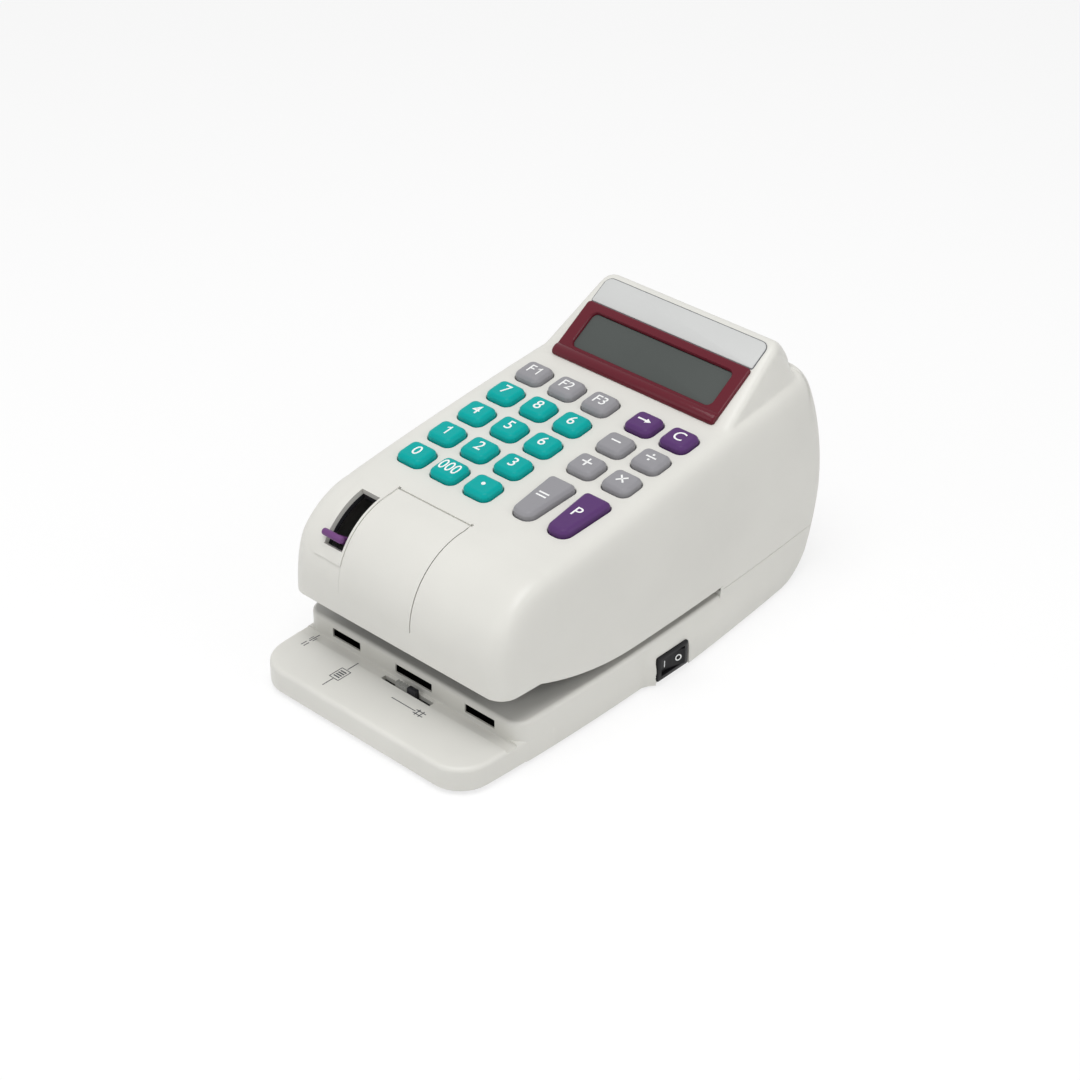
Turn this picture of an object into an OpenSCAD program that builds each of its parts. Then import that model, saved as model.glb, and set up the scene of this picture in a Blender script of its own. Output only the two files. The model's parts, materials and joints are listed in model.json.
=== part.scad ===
// Desktop electronic check writer.
// X is the width, the front tray points to -Y, Z is up and the rubber feet stand on Z = 0.

/* [Body] */
// Length from the front of the tray to the rear of the housing
body_l = 283; // [265:1:300]
// Width at the widest point of the housings
body_w = 152; // [144:1:160]
// Height that the feet lift the housing off the table
foot_h = 2; // [1.5:0.5:4]
// Wall thickness of the moulded housings
wall = 2.4; // [1.8:0.1:3]
// Bow radius of the side walls in front of the widest point
bow_front_r = 1300; // [900:10:2000]
// Bow radius of the side walls behind the widest point
bow_rear_r = 2000; // [1200:10:4000]
// Distance of the widest point from the middle, towards the front
bow_front = 34; // [20:1:50]

/* [Base and tray] */
// Height of the tray's top face above the housing's underside
tray_h = 13.5; // [11:0.5:16]
// Depth of the tray from its front edge to the wall
tray_d = 37.5; // [33:0.5:42]
// Height of the paper deck above the housing's underside
deck_h = 24; // [22:0.5:27]
// Corner radius of the tray in plan
tray_r = 17; // [10:1:22]
// Radius of the moulded top edges
edge_r = 2; // [1:0.25:3]
// How far the foot of the side wall flares out at the power switch
flare = 5; // [3:0.5:7]
// Width of the trough along the foot of the wall
trough_w = 7; // [5:0.5:9]
// Depth of that trough
trough_d = 1.6; // [1:0.2:2.5]

/* [Throat] */
// Clear height of the throat at its rear
throat_gap = 5; // [4.6:0.2:7]
// Clear height of the throat under the nose
nose_gap = 18; // [15:0.5:21]
// Distance from the nose to where the roof starts to drop
nose_flat = 26; // [20:1:34]
// Distance from the rear of the housing to the throat's inner end
throat_rear = 94; // [86:1:110]

/* [Head] */
// Height of the key deck above the table, at the middle of the body
head_h = 107; // [102:1:112]
// Slope of the key deck
deck_tilt = 7; // [4:0.5:10]
// Distance from the front of the tray to the nose
nose_back = 27; // [24:0.5:30]
// Radius of the nose
nose_r = 39; // [32:1:44]
// Radius of the bowed rear wall
rear_r = 124; // [110:1:150]
// Height of the rear wall's fullest point
rear_z = 62; // [50:1:72]
// Drop from the crease of the deck to where the side wall is upright
shoulder_h = 50; // [40:1:60]

/* [Display hood] */
// Overall height of the hood above the table
hood_top = 144; // [142:0.5:147]
// Depth of the display face from its foot to its top
hood_d = 46.25; // [42:0.25:50]
// Distance from the rear of the housing to the foot of the display face
hood_foot = 82; // [76:0.5:88]
// Half width of the hood at its foot
hood_w = 62; // [60:0.5:63]
// Width of the display bezel
bezel_w = 110; // [104:1:112]
// Length of the display bezel up the slope
bezel_l = 36; // [32:0.2:37]
// Thickness that the bezel stands proud of the hood
bezel_t = 1.8; // [1.2:0.1:2.5]
// Width of the display window
window_w = 96; // [80:1:98]
// Length of the display window up the slope
window_l = 24; // [18:0.5:25]

/* [Keys] */
// Pitch of the key columns
key_px = 23; // [21.5:0.1:24]
// Pitch of the key rows along the deck
key_py = 21.75; // [20.5:0.05:23]
// Extra distance between the number block and the function block
block_gap = 6.6; // [4:0.1:8]
// Width of a key
key_w = 17; // [15:0.2:17.6]
// Depth of a key along the deck
key_d = 15.6; // [14:0.2:16.2]
// Height that a key stands proud of the deck
key_h = 3.8; // [3:0.1:4.4]
// Travel of a key
key_travel = 2; // [1.5:0.1:2.4]
// Gap around a key in its opening
key_gap = 0.5; // [0.3:0.05:0.8]

/* [Ribbon cover and lever] */
// Width of the ink roller cover
cover_w = 50.5; // [44:0.5:52]
// Gap around the cover
cover_gap = 0.3; // [0.2:0.05:0.5]
// Radius of the cover's hinge pins
cover_pin_r = 0.9; // [0.7:0.05:1]
// Width of the lever slot
slot_w = 10.5; // [10:0.5:11]
// Angle of the lever forward of upright, as photographed
lever_angle = 52; // [30:1:54]
// Radius of the lever's finger rod
lever_rod_r = 1.9; // [1.5:0.1:2.2]

/* [Printing mechanism] */
// Radius of the type wheels over the type
type_r = 18.5; // [16:0.5:19]
// Number of type wheels side by side
type_count = 9; // [6:1:9]
// Radius of the ink roller
ink_r = 9; // [7:0.5:10]
// Gear module
gear_m = 0.8; // [0.8:0.1:0.9]
// Teeth on the type wheel's pinion
wheel_teeth = 14; // [12:1:14]
// Teeth on the intermediate gear
drive_teeth = 40; // [36:1:40]
// Teeth on the motor's pinion
motor_teeth = 10; // [10:1:12]
// Radius of the motor's can
motor_r = 12; // [10:0.5:12]
// Radius of the paper feed roller in the base
feed_r = 7; // [6:0.5:7.5]
// Radius of the pinch roller in the head
pinch_r = 10; // [9.5:0.25:10.5]
// Radius of the steel shafts
shaft_r = 2; // [1.5:0.25:2.5]

/* [Power switch] */
// Length of the switch's flange
switch_l = 24; // [20:0.5:25]
// Height of the switch's flange
switch_h = 14.6; // [13:0.2:15]
// Angle that the rocker turns between off and on
rocker_throw = 18; // [14:1:22]

/* [Hidden] */

housing_col = [0.86, 0.86, 0.84];
teal = [0.04, 0.65, 0.62];
grey = [0.58, 0.58, 0.6];
purple = [0.37, 0.22, 0.46];
maroon = [0.38, 0.14, 0.17];

fit = 0.3;                       // gap between pieces that seat without touching
run = 0.05;                      // radial running clearance of shafts and pins
glue = 0.05;                     // film of glue under the bezel and the label plate
eps = 0.01;
front_y = -body_l/2;
rear_y = body_l/2;
base_z = foot_h;                 // underside of the base housing
tray_z = base_z + tray_h;
deck_z = base_z + deck_h;
wall_y = front_y + tray_d;       // face of the wall behind the tray
nose_y = front_y + nose_back;
nose_z = deck_z + nose_gap;
roof_z = deck_z + throat_gap;
seam_z = deck_z + 3;             // where base and upper housing meet behind the throat
throat_y = rear_y - throat_rear;
roof_start_y = nose_y + nose_flat;
roof_flat_y = -21;               // where the roof of the throat becomes level
tilt_k = tan(deck_tilt);
nose_cy = nose_y + nose_r;
nose_cz = top_at(nose_cy) - nose_r/cos(deck_tilt);
rear_cy = rear_y - rear_r;

// Deck plane of the head, unlimited by nose or rear
function top_at(y) = head_h + tilt_k*y;
// Half width of the bowed sides
function half_w(y) = body_w/2 - pow(y + bow_front, 2)/(2*(y < -bow_front ? bow_front_r : bow_rear_r));
// Arc as points: centre, radius, start and end angle, steps
function arc(c, r, a0, a1, n) = [for (i = [0:n]) let (a = a0 + (a1 - a0)*i/n)
  [c[0] + r*cos(a), c[1] + r*sin(a)]];

// Half of a plan outline with bowed sides: front and rear edge, their corner radii, inset
function side_points(yf, yr, rf, rr, d) = let (
    af = atan((-bow_front - yf - rf)/bow_front_r), ar = atan((yr - rr + bow_front)/bow_rear_r),
    cf = [half_w(yf + rf) - rf, yf + rf], cr = [half_w(yr - rr) - rr, yr - rr])
  concat(arc(cf, rf - d, -90, -af, 6),
    [for (i = [1:7]) let (y = cf[1] + (cr[1] - cf[1])*i/8) [half_w(y) - d, y]],
    arc(cr, rr - d, ar, 90, 4));
module outline(yf, yr, rf, rr, d = 0) {
  pts = side_points(yf, yr, rf, rr, d);
  polygon(concat(pts, [for (i = [len(pts) - 1:-1:0]) [-pts[i][0], pts[i][1]]]));
}

// Rear wall: y at a height, and the two heights at a y
function rear_at(z) = rear_cy + sqrt(max(0, rear_r*rear_r - pow(z - rear_z, 2)));
function rear_rise(y, d) = sqrt(max(0, pow(rear_r - d, 2) - pow(y - rear_cy, 2)));

// Roof of the throat as a height over y
roof_arc_r = pow(roof_flat_y - roof_start_y, 2)/(2*(nose_z - roof_z));
function roof_at(y) = y < roof_start_y ? nose_z
  : y < roof_flat_y ? roof_z + pow(roof_flat_y - y, 2)/(2*roof_arc_r) : roof_z;

// ---- Moulded head: one loft of superelliptic sections along Y ----
side_pow = 28;                   // how square the sections are at the side
top_pow = 1.5;                   // how soft the section rises from the side to the crease
// Angles of the points around a quarter section, closer together towards the flat deck
section_a = [0, 20, 40, 55, 65, 72, 78, 82, 85, 87.5, 89, 90];
side_n = 3;                      // steps up the upright part of the side
nose_corner_r = 10;              // plan radius of the nose's and the rear's upright corners
rear_corner_r = 9;
nose_n = 10;                     // sections round the nose and down the rear wall
rear_n = 8;
function corner_in(y, d) = let (s = nose_corner_r - (y - nose_y - d))
  s <= 0 ? 0 : nose_corner_r - sqrt(max(0, nose_corner_r*nose_corner_r - s*s));
function rear_in(y, z, d) = let (s = rear_corner_r - (rear_at(z) - d - y))
  s <= 0 ? 0 : rear_corner_r - sqrt(max(0, rear_corner_r*rear_corner_r - s*s));
function section_w(y, d) = half_w(y) - d - corner_in(y, d);
function nose_top(y, d) = nose_cz + sqrt(max(0, pow(nose_r - d, 2) - pow(y - nose_cy, 2)));
function section_top(y, d) = min(top_at(y) - d/cos(deck_tilt), y < nose_cy ? nose_top(y, d) : 1000,
  y > 0 ? rear_z + rear_rise(y, d) : 1000);
function section_low(y, d) = y > rear_cy + rear_r*0.8 ? max(seam_z, rear_z - rear_rise(y, d)) : seam_z;
function section(y, d) = let (w = section_w(y, d), zt = section_top(y, d), zl = section_low(y, d),
    zc = max(zt - shoulder_h, min(zl + 6, zt - 3), y < nose_cy ? nose_z : 0))
  concat(
    [for (i = [0:side_n]) let (z0 = min(zl, zc - 1), z = z0 + (zc - z0)*i/(side_n + 1))
      [w - rear_in(y, z, d), z]],
    [for (a = section_a) let (z = zc + (zt - zc)*pow(max(0, sin(a)), 2/top_pow))
      [(w - rear_in(y, z, d))*pow(max(0, cos(a)), 2/side_pow), z]]);
module section_slice(y, d) {
  pts = section(y, d);
  translate([0, y, 0]) rotate([90, 0, 0]) linear_extrude(eps)
    polygon(concat(pts, [for (i = [len(pts) - 2:-1:0]) [-pts[i][0], pts[i][1]]]));
}
nose_end = 90 + deck_tilt;
shoulder_y = rear_at(top_at(rear_at(head_h + 15)));
shoulder_a = asin((top_at(shoulder_y) - rear_z)/rear_r);
function stations(d) = concat(
  [for (i = [0:nose_n]) let (a = 180 - (180 - nose_end)*i/nose_n)
    nose_cy + (nose_r - d)*cos(a) + (i == 0 ? 0.02 : 0)],
  [for (i = [1:4]) nose_cy + (shoulder_y - nose_cy)*i/5],
  [for (i = [0:rear_n]) let (a = shoulder_a*(1 - i/rear_n))
    rear_cy + (rear_r - d)*cos(a) - (i == rear_n ? 0.02 : 0)]);
module head_form(d = 0) {
  hull() for (y = stations(d)) section_slice(y, d);
}

// ---- Display hood: profile crossed with a tapered front outline ----
foot_y = rear_y - hood_foot;
foot_z = top_at(foot_y);
face_tilt = atan2(hood_top - foot_z, hood_d);
face_len = hood_d/cos(face_tilt);
hood_r = 5;
hood_draft = 2.5;                // how much narrower the hood is at its top
hood_sink = 12;                  // how far the hood's form reaches into the head
side_r = 3;                      // radius of the hood's top side edges
function face_point(s, h = 0) = [foot_y + s*cos(face_tilt) - h*sin(face_tilt),
  foot_z + s*sin(face_tilt) + h*cos(face_tilt)];
// y of the hood's rear: just inside the rear wall, and always behind the top of the face
function hood_rear(z) = max(rear_at(z) - 1, foot_y + hood_d + hood_r);
module hood_profile(d) {
  ctr = [foot_y + hood_d + hood_r*tan(face_tilt/2), hood_top - hood_r];
  polygon(concat([[foot_y + d/sin(face_tilt), foot_z - hood_sink], [foot_y + d/sin(face_tilt), foot_z]],
    arc(ctr, hood_r - d, 90 + face_tilt, 90, 4),
    [for (i = [0:5]) let (z = hood_top - 2.5 - d + (foot_z - hood_top)*i/5) [hood_rear(z) - d, z]],
    [[hood_rear(foot_z) - d, foot_z - hood_sink]]));
}
module hood_form(d = 0) {
  intersection() {
    rotate([90, 0, 90]) linear_extrude(2*hood_w, center = true) hood_profile(d);
    translate([0, rear_y, 0]) rotate([90, 0, 0]) linear_extrude(body_l) polygon(concat(
      [[hood_w - d, foot_z - hood_sink - 2], [hood_w - d, foot_z]],
      arc([hood_w - hood_draft - side_r, hood_top - side_r], side_r - min(d, side_r*0.8), 0, 90, 3),
      arc([-hood_w + hood_draft + side_r, hood_top - side_r], side_r - min(d, side_r*0.8), 90, 180, 3),
      [[-hood_w + d, foot_z], [-hood_w + d, foot_z - hood_sink - 2]]));
  }
}

// Places children on the display face: x across, y up the slope, z out of the face
module on_face(s, h = 0) {
  p = face_point(s, h);
  translate([0, p[0], p[1]]) rotate([face_tilt, 0, 0]) children();
}
// Places children on the key deck above a point x, y
module on_deck(x, y, h = 0) {
  translate([x, y, top_at(y)]) rotate([deck_tilt, 0, 0]) translate([0, 0, h]) children();
}
module rounded(w, d, r) {
  polygon(concat(arc([w/2 - r, d/2 - r], r, 0, 90, 3), arc([-w/2 + r, d/2 - r], r, 90, 180, 3),
    arc([-w/2 + r, -d/2 + r], r, 180, 270, 3), arc([w/2 - r, -d/2 + r], r, 270, 360, 3)));
}

// ---- Keys ----
first_x = -48.2;                 // middle of the first column of keys
col_x = [for (i = [0:4]) first_x + i*key_px + (i > 2 ? block_gap : 0)];
row_0 = -47.3;                   // middle of the first row
function row_y(r) = row_0 + r*key_py*cos(deck_tilt);
// Name, column, row, rows that it spans
KEYS = [["key_0", 0, 0, 1], ["key_000", 1, 0, 1], ["key_dot", 2, 0, 1],
  ["key_1", 0, 1, 1], ["key_2", 1, 1, 1], ["key_3", 2, 1, 1],
  ["key_4", 0, 2, 1], ["key_5", 1, 2, 1], ["key_6", 2, 2, 1],
  ["key_7", 0, 3, 1], ["key_8", 1, 3, 1], ["key_9", 2, 3, 1],
  ["key_f1", 0, 4, 1], ["key_f2", 1, 4, 1], ["key_f3", 2, 4, 1],
  ["key_plus", 3, 2, 1], ["key_times", 4, 2, 1], ["key_minus", 3, 3, 1], ["key_divide", 4, 3, 1],
  ["key_arrow", 3, 4, 1], ["key_c", 4, 4, 1], ["key_equals", 3, 0, 2], ["key_print", 4, 0, 2]];
function key_y(k) = row_y(k[2] + (k[3] - 1)/2);
tall_k = 0.82;                   // how much of a row's pitch a tall key adds to its length
function key_len(k) = key_d + (k[3] - 1)*key_py*tall_k;
key_r = 4.2;
flange_t = 1.2;                  // thickness of the flange that holds a key in
flange_w = 1;                    // how far a key's flange reaches under the deck
key_rest = 0.1;                  // what is left above the membrane under a key that is down
key_in = wall + key_travel + flange_t + fit + key_rest; // depth of the membrane below the deck
// Plan of a key; a tall key is narrower and rounder at its front end
module key_plan(k, grow) {
  l = key_len(k) + 2*grow;
  w = key_w + 2*grow;
  if (k[3] == 1) rounded(w, l, key_r + grow);
  else {
    taper = 1.6;
    rf = 5.4 + grow;
    rr = 3.4 + grow;
    polygon(concat(arc([w/2 - rr, l/2 - rr], rr, 0, 90, 3), arc([-w/2 + rr, l/2 - rr], rr, 90, 180, 3),
      arc([-w/2 + taper + rf, -l/2 + rf], rf, 180, 270, 3),
      arc([w/2 - taper - rf, -l/2 + rf], rf, 270, 360, 3)));
  }
}
module key(k) {
  on_deck(col_x[k[1]], key_y(k)) {
    hull() {
      translate([0, 0, -wall + fit]) linear_extrude(wall - fit + key_h - 1.3) key_plan(k, 0);
      translate([0, 0, key_h - 0.5]) linear_extrude(eps) key_plan(k, -0.6);
      translate([0, 0, key_h]) linear_extrude(eps) key_plan(k, -1.7);
    }
    translate([0, 0, -wall - flange_t - fit]) linear_extrude(flange_t) key_plan(k, flange_w);
    translate([0, 0, -wall - fit - eps]) linear_extrude(2*fit + 2*eps) key_plan(k, -0.4);
  }
}
function find_key(name) = [for (k = KEYS) if (k[0] == name) k][0];

// ---- Cover and lever on the nose ----
cover_x = -12.4;                 // middle of the cover
cover_top_y = -72;
cover_bottom_z = 57;
pin_drop = 1.2;                  // depth of the hinge line under the surface
hinge_y = cover_top_y;
hinge_z = section_top(cover_top_y, 0) - pin_drop;
module cover_zone(g, h) {
  translate([cover_x - cover_w/2 - g, nose_y - 5, cover_bottom_z - g])
    cube([cover_w + 2*g, hinge_y - nose_y + 5 + h, head_h]);
}
slot_x = cover_x - cover_w/2 - 7.6;
slot_a0 = 12;                    // angles of the lever slot forward of upright
slot_a1 = 60;
bezel_a0 = 4;                    // angles of the flange round it
bezel_a1 = 70;
module nose_sector(w, r0, r1, a0, a1) {
  translate([0, nose_cy, nose_cz]) rotate([0, -90, 0]) rotate([0, 0, -a1]) translate([0, 0, -w/2])
    rotate_extrude(angle = a1 - a0, $fn = 96) translate([r0, 0]) square([r1 - r0, w]);
}

// ---- Mechanism places ----
wheel_y = -66.7;                 // the type wheels' shaft
wheel_z = deck_z + 1 + type_r;
ink_reach = type_r + ink_r + fit;
ink_y = wheel_y - ink_reach*cos(45);
ink_z = wheel_z + ink_reach*sin(45);
drive_reach = gear_m*(wheel_teeth + drive_teeth)/2;
drive_a = 60;
drive_y = wheel_y + drive_reach*cos(drive_a);
drive_z = wheel_z + drive_reach*sin(drive_a);
motor_reach = gear_m*(motor_teeth + drive_teeth)/2;
motor_a = 30;
motor_y = drive_y + motor_reach*cos(motor_a);
motor_z = drive_z + motor_reach*sin(motor_a);
roll_y = -38;
feed_z = deck_z + 0.3 - feed_r;
pinch_z = deck_z + 0.6 + pinch_r;
frame_t = 1.5;
frame_lx = -38.9;                // inner faces of the two frame plates
frame_rx = 13.5;
roll_x0 = -32;
roll_x1 = 6;
tyre_w = 13;                     // width of a roller's rubber tyre, and where its two start
tyre_x = [roll_x0 + 2, roll_x1 - 3 - tyre_w];
gear_x = frame_rx + frame_t + 1;
gear_w = 4;

// Base: tray and deck as two convex mouldings, hollow from below
module tray_form(d) {
  hull() {
    translate([0, 0, base_z]) linear_extrude(tray_h - edge_r - d) outline(front_y, wall_y + 30, tray_r, 4, d);
    for (a = [30:30:90]) translate([0, 0, tray_z - edge_r - d + edge_r*sin(a)]) linear_extrude(eps)
      outline(front_y, wall_y + 30, tray_r, 4, d + edge_r*(1 - cos(a)));
  }
}
wall_r = 8;                      // plan radius at the ends of the wall behind the tray
rear_round = 14;                 // radius under the rear of the base
function rear_tuck(z) = z < rear_round ? rear_round - sqrt(rear_round*rear_round - pow(rear_round - z, 2)) : 0;
plate_r = 14;                    // corner radius at the rear of the underside plate
plate_rear = rear_at(base_z) - 18;
module deck_form(d) {
  hull() {
    for (z = [0, 3, 8, 15, deck_h - edge_r]) translate([0, 0, base_z + z]) linear_extrude(eps)
      outline(wall_y, rear_at(base_z + z) - rear_tuck(z), wall_r, rear_corner_r, d);
    translate([0, 0, deck_z - eps]) linear_extrude(eps)
      outline(wall_y + 0.8, rear_at(deck_z), wall_r, rear_corner_r, d + 0.8);
  }
}
module rear_rim(d) {
  difference() {
    hull() for (z = [deck_z - 6, seam_z]) translate([0, 0, z - (z == seam_z ? eps : 0)]) linear_extrude(eps)
      outline(wall_y, rear_at(z), wall_r, rear_corner_r, d);
    translate([-body_w, front_y - 1, 0]) cube([2*body_w, throat_y - front_y + 1 + d, body_l]);
  }
  // rib that closes the inner end of the throat
  translate([-half_w(throat_y) + wall + fit, throat_y, deck_z - 1])
    cube([2*(half_w(throat_y) - wall - fit), wall, throat_gap + 1 - fit]);
}
flare_y0 = -15;                  // where the flare of the side wall starts
flare_y1 = rear_y - 17.5;        // where it has run out
module flare_form(d) {
  for (s = [-1, 1]) scale([s, 1, 1]) intersection() {
    translate([0, 0, base_z]) linear_extrude(deck_h) polygon([[half_w(flare_y0) - 8, flare_y0 - 2],
      [half_w(flare_y0) - d - 0.4, flare_y0 - 2 + d], [body_w/2 + flare - d, flare_y0 + 7 + d],
      [half_w(flare_y1) - d, flare_y1], [half_w(flare_y1) - 8, flare_y1]]);
    translate([0, flare_y1 + 1, base_z]) rotate([90, 0, 0]) linear_extrude(body_l) polygon([[50, -1],
      [body_w/2 + flare + 1, -1], [body_w/2 + flare - d, deck_h - 12], [body_w/2 - 1.6 - d, deck_h + 3 - d*2.2],
      [50, deck_h + 3 - d*2.2]]);
  }
}
switch_y = 4.5;
switch_z = base_z + 8.2;
switch_x = body_w/2 + flare - 2.6; // plane that the switch's flange lies on
win_h = 5.2;
win_z = deck_z - 8.9;
// Middle and width of the three windows in the wall behind the tray
WINDOWS = [[-44.8, 20], [3.2, 25.4], [48.6, 20]];
stop_x = 2.5;                    // middle of the stop slider's slot
stop_slot = 34;
battery_y = rear_y - 79.5;       // middle of the battery compartment, its width and its length
battery_w = 76;
battery_l = 62;
cell_n = 4;                      // cells side by side
cell_r = 7.1;
cell_l = 49;
screw_xy = [[-60, front_y + 23.5], [60, front_y + 23.5], [-58, rear_y - 37.5], [58, rear_y - 37.5]];
feet_xy = [[-56, front_y + 41.5], [56, front_y + 41.5], [-56, rear_y - 49.5], [56, rear_y - 49.5]];
plate_t = 2;                     // thickness of the underside plate
screw_r = 1.25;
jack_x = -40;
jack_z = base_z + 14;
module base_housing() {
  color(housing_col) difference() {
    union() {
      tray_form(0);
      deck_form(0);
      rear_rim(0);
      flare_form(0);
    }
    difference() {
      union() {
        tray_form_inner();
        deck_form_inner();
        difference() {
          translate([0, 0, -wall]) flare_form(wall);
          translate([switch_x - wall, switch_y - switch_l/2 - 4, 0]) cube([20, switch_l + 8, deck_z]);
        }
      }
      for (p = screw_xy) translate([p[0], p[1], base_z + plate_t]) cylinder(r = 4, h = 60, $fn = 24);
    }
    for (p = screw_xy) translate([p[0], p[1], 0]) cylinder(r = screw_r + 0.05, h = base_z + 9, $fn = 24);
    // trough at the foot of the wall, open at both sides
    translate([-body_w, wall_y - trough_w, tray_z - trough_d]) cube([2*body_w, trough_w, 20]);
    for (w = WINDOWS) translate([w[0] - w[1]/2, wall_y - 1, win_z]) cube([w[1], wall + 3, win_h]);
    translate([stop_x - stop_slot/2, wall_y - trough_w + 1.4, base_z + 3]) cube([stop_slot, 3.4, 30]);
    // print station and feed roller windows in the deck
    translate([roll_x0 - 2, wheel_y - 6, base_z + 3]) cube([roll_x1 - roll_x0 + 4, 12, 30]);
    translate([roll_x0 - 1, roll_y - feed_r - 0.6, base_z + 3])
      cube([roll_x1 - roll_x0 + 2, 2*feed_r + 1.2, 30]);
    // flat for the switch, its cut-out, and the inlet
    translate([switch_x, switch_y - switch_l/2 - 1, base_z - 1]) cube([20, switch_l + 2, switch_h + 4]);
    translate([switch_x - 12, switch_y - switch_l/2 + 1.5, switch_z - switch_h/2 + 1])
      cube([20, switch_l - 3, switch_h - 2]);
    translate([jack_x, 0, jack_z]) rotate([-90, 0, 0]) cylinder(r = 4.5, h = 200, $fn = 32);
  }
  // bearing brackets for the feed roller
  color(housing_col) for (x = [roll_x0 - 5, roll_x1 + 2.4]) difference() {
    translate([x, roll_y - 5, feed_z - 6]) cube([2.6, 10, deck_z - wall - feed_z + 6 + eps]);
    translate([x - 1, roll_y, feed_z]) rotate([0, 90, 0]) cylinder(r = shaft_r + run, h = 6, $fn = 32);
  }
}
module tray_form_inner() {
  translate([0, 0, base_z - 1]) linear_extrude(tray_h - wall - trough_d + 1)
    outline(front_y, wall_y + 30, tray_r, 4, wall);
}
module deck_form_inner() {
  translate([0, 0, base_z - 1]) linear_extrude(deck_h - wall + 1)
    outline(wall_y, plate_rear, wall_r, plate_r, wall);
  intersection() {
    translate([0, 0, base_z + 3]) linear_extrude(head_h)
      outline(wall_y, rear_at(seam_z) - 10, wall_r, plate_r, wall);
    translate([-body_w, throat_y + wall, 0]) cube([2*body_w, body_l, head_h]);
  }
}

// Underside plate with the battery compartment
module bottom_plate() {
  color([0.25, 0.25, 0.26]) difference() {
    union() {
      translate([0, 0, base_z]) linear_extrude(plate_t)
        outline(front_y, plate_rear, tray_r, plate_r, wall + fit);
      // runners beside the battery door
      for (s = [-1, 1]) translate([s*(battery_w/2 + 4) - 1, battery_y - battery_l/2 - 40, base_z - 1.2])
        cube([2, battery_l + 44, 1.2 + eps]);
      translate([-battery_w/2 - 1.6, battery_y - battery_l/2 - 1.6, base_z]) difference() {
        cube([battery_w + 3.2, battery_l + 3.2, 19]);
        translate([1.6, 1.6, -1]) cube([battery_w, battery_l, 18.4]);
      }
    }
    translate([-battery_w/2, battery_y - battery_l/2, 0]) cube([battery_w, battery_l, base_z + 3]);
    for (p = screw_xy) translate([p[0], p[1], 0]) cylinder(r = screw_r + 0.2, h = 30, $fn = 24);
  }
}
module battery_door() {
  color([0.22, 0.22, 0.23]) {
    translate([-battery_w/2 - 2.7, battery_y - battery_l/2 - 2, base_z - 1.3])
      cube([battery_w + 5.4, battery_l + 4, 1.2]);
    // rounded edge on the hinge line
    translate([-battery_w/2 - 2.7, battery_y + battery_l/2 + 2, base_z - 0.7]) rotate([0, 90, 0])
      cylinder(r = 0.6, h = battery_w + 5.4, $fn = 24);
    for (x = [-12:4:12]) translate([x - 0.6, battery_y - 24, base_z - 1.6]) cube([1.2, 10, 0.4]);
  }
}
module battery_cells() {
  pitch = (battery_w - 4)/cell_n;
  for (i = [0:cell_n - 1])
    translate([(i - (cell_n - 1)/2)*pitch, battery_y - cell_l/2 - 0.5, base_z + 0.1 + cell_r])
      rotate([-90, 0, 0]) {
        color([0.2, 0.35, 0.3]) cylinder(r = cell_r, h = cell_l, $fn = 32);
        color("silver") translate([0, 0, cell_l]) cylinder(r = 2.7, h = 1.2, $fn = 24);
      }
}
module rubber_feet() {
  color([0.12, 0.12, 0.12]) for (p = feet_xy) translate([p[0], p[1], 0])
    rotate_extrude($fn = 32) polygon([[0, 0], [5.2, 0], [6, 0.8], [6, base_z], [0, base_z]]);
}
module housing_screws() {
  color("silver") for (p = screw_xy) translate([p[0], p[1], base_z - 1.2]) {
    cylinder(r = 2.8, h = 1.2, $fn = 24);
    cylinder(r = screw_r, h = 9, $fn = 24);
  }
}

// Stop that slides along the foot of the wall
module stop_slider() {
  color([0.5, 0.5, 0.5]) translate([stop_x - 7, wall_y - trough_w + 1.6, base_z + 4]) {
    cube([14, 3, tray_h - 4 + 3.2]);
    translate([-1, -1, tray_h - trough_d - 4 + fit]) cube([16, 1, 2]);
  }
}

// Hammer that lifts the paper against the type, and the feed roller behind it
module print_hammer() {
  color("silver") {
    translate([roll_x0 - 1.7, wheel_y - 5.7, deck_z - 3]) cube([roll_x1 - roll_x0 + 3.4, 11.4, 3]);
    translate([(roll_x0 + roll_x1)/2, wheel_y, base_z + 2 + fit]) cylinder(r = 4, h = deck_h - 5, $fn = 32);
  }
}
module feed_roller() {
  translate([0, roll_y, feed_z]) rotate([0, 90, 0]) {
    color([0.15, 0.15, 0.15]) for (x = tyre_x) translate([0, 0, x]) cylinder(r = feed_r, h = tyre_w, $fn = 48);
    color("silver") translate([0, 0, roll_x0 - 5])
      cylinder(r = shaft_r, h = roll_x1 - roll_x0 + 10, $fn = 32);
  }
}

post_xy = [for (c = [0, 3], r = [0, 3]) [col_x[c] + key_px/2, row_y(r + 0.5)]];

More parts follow.
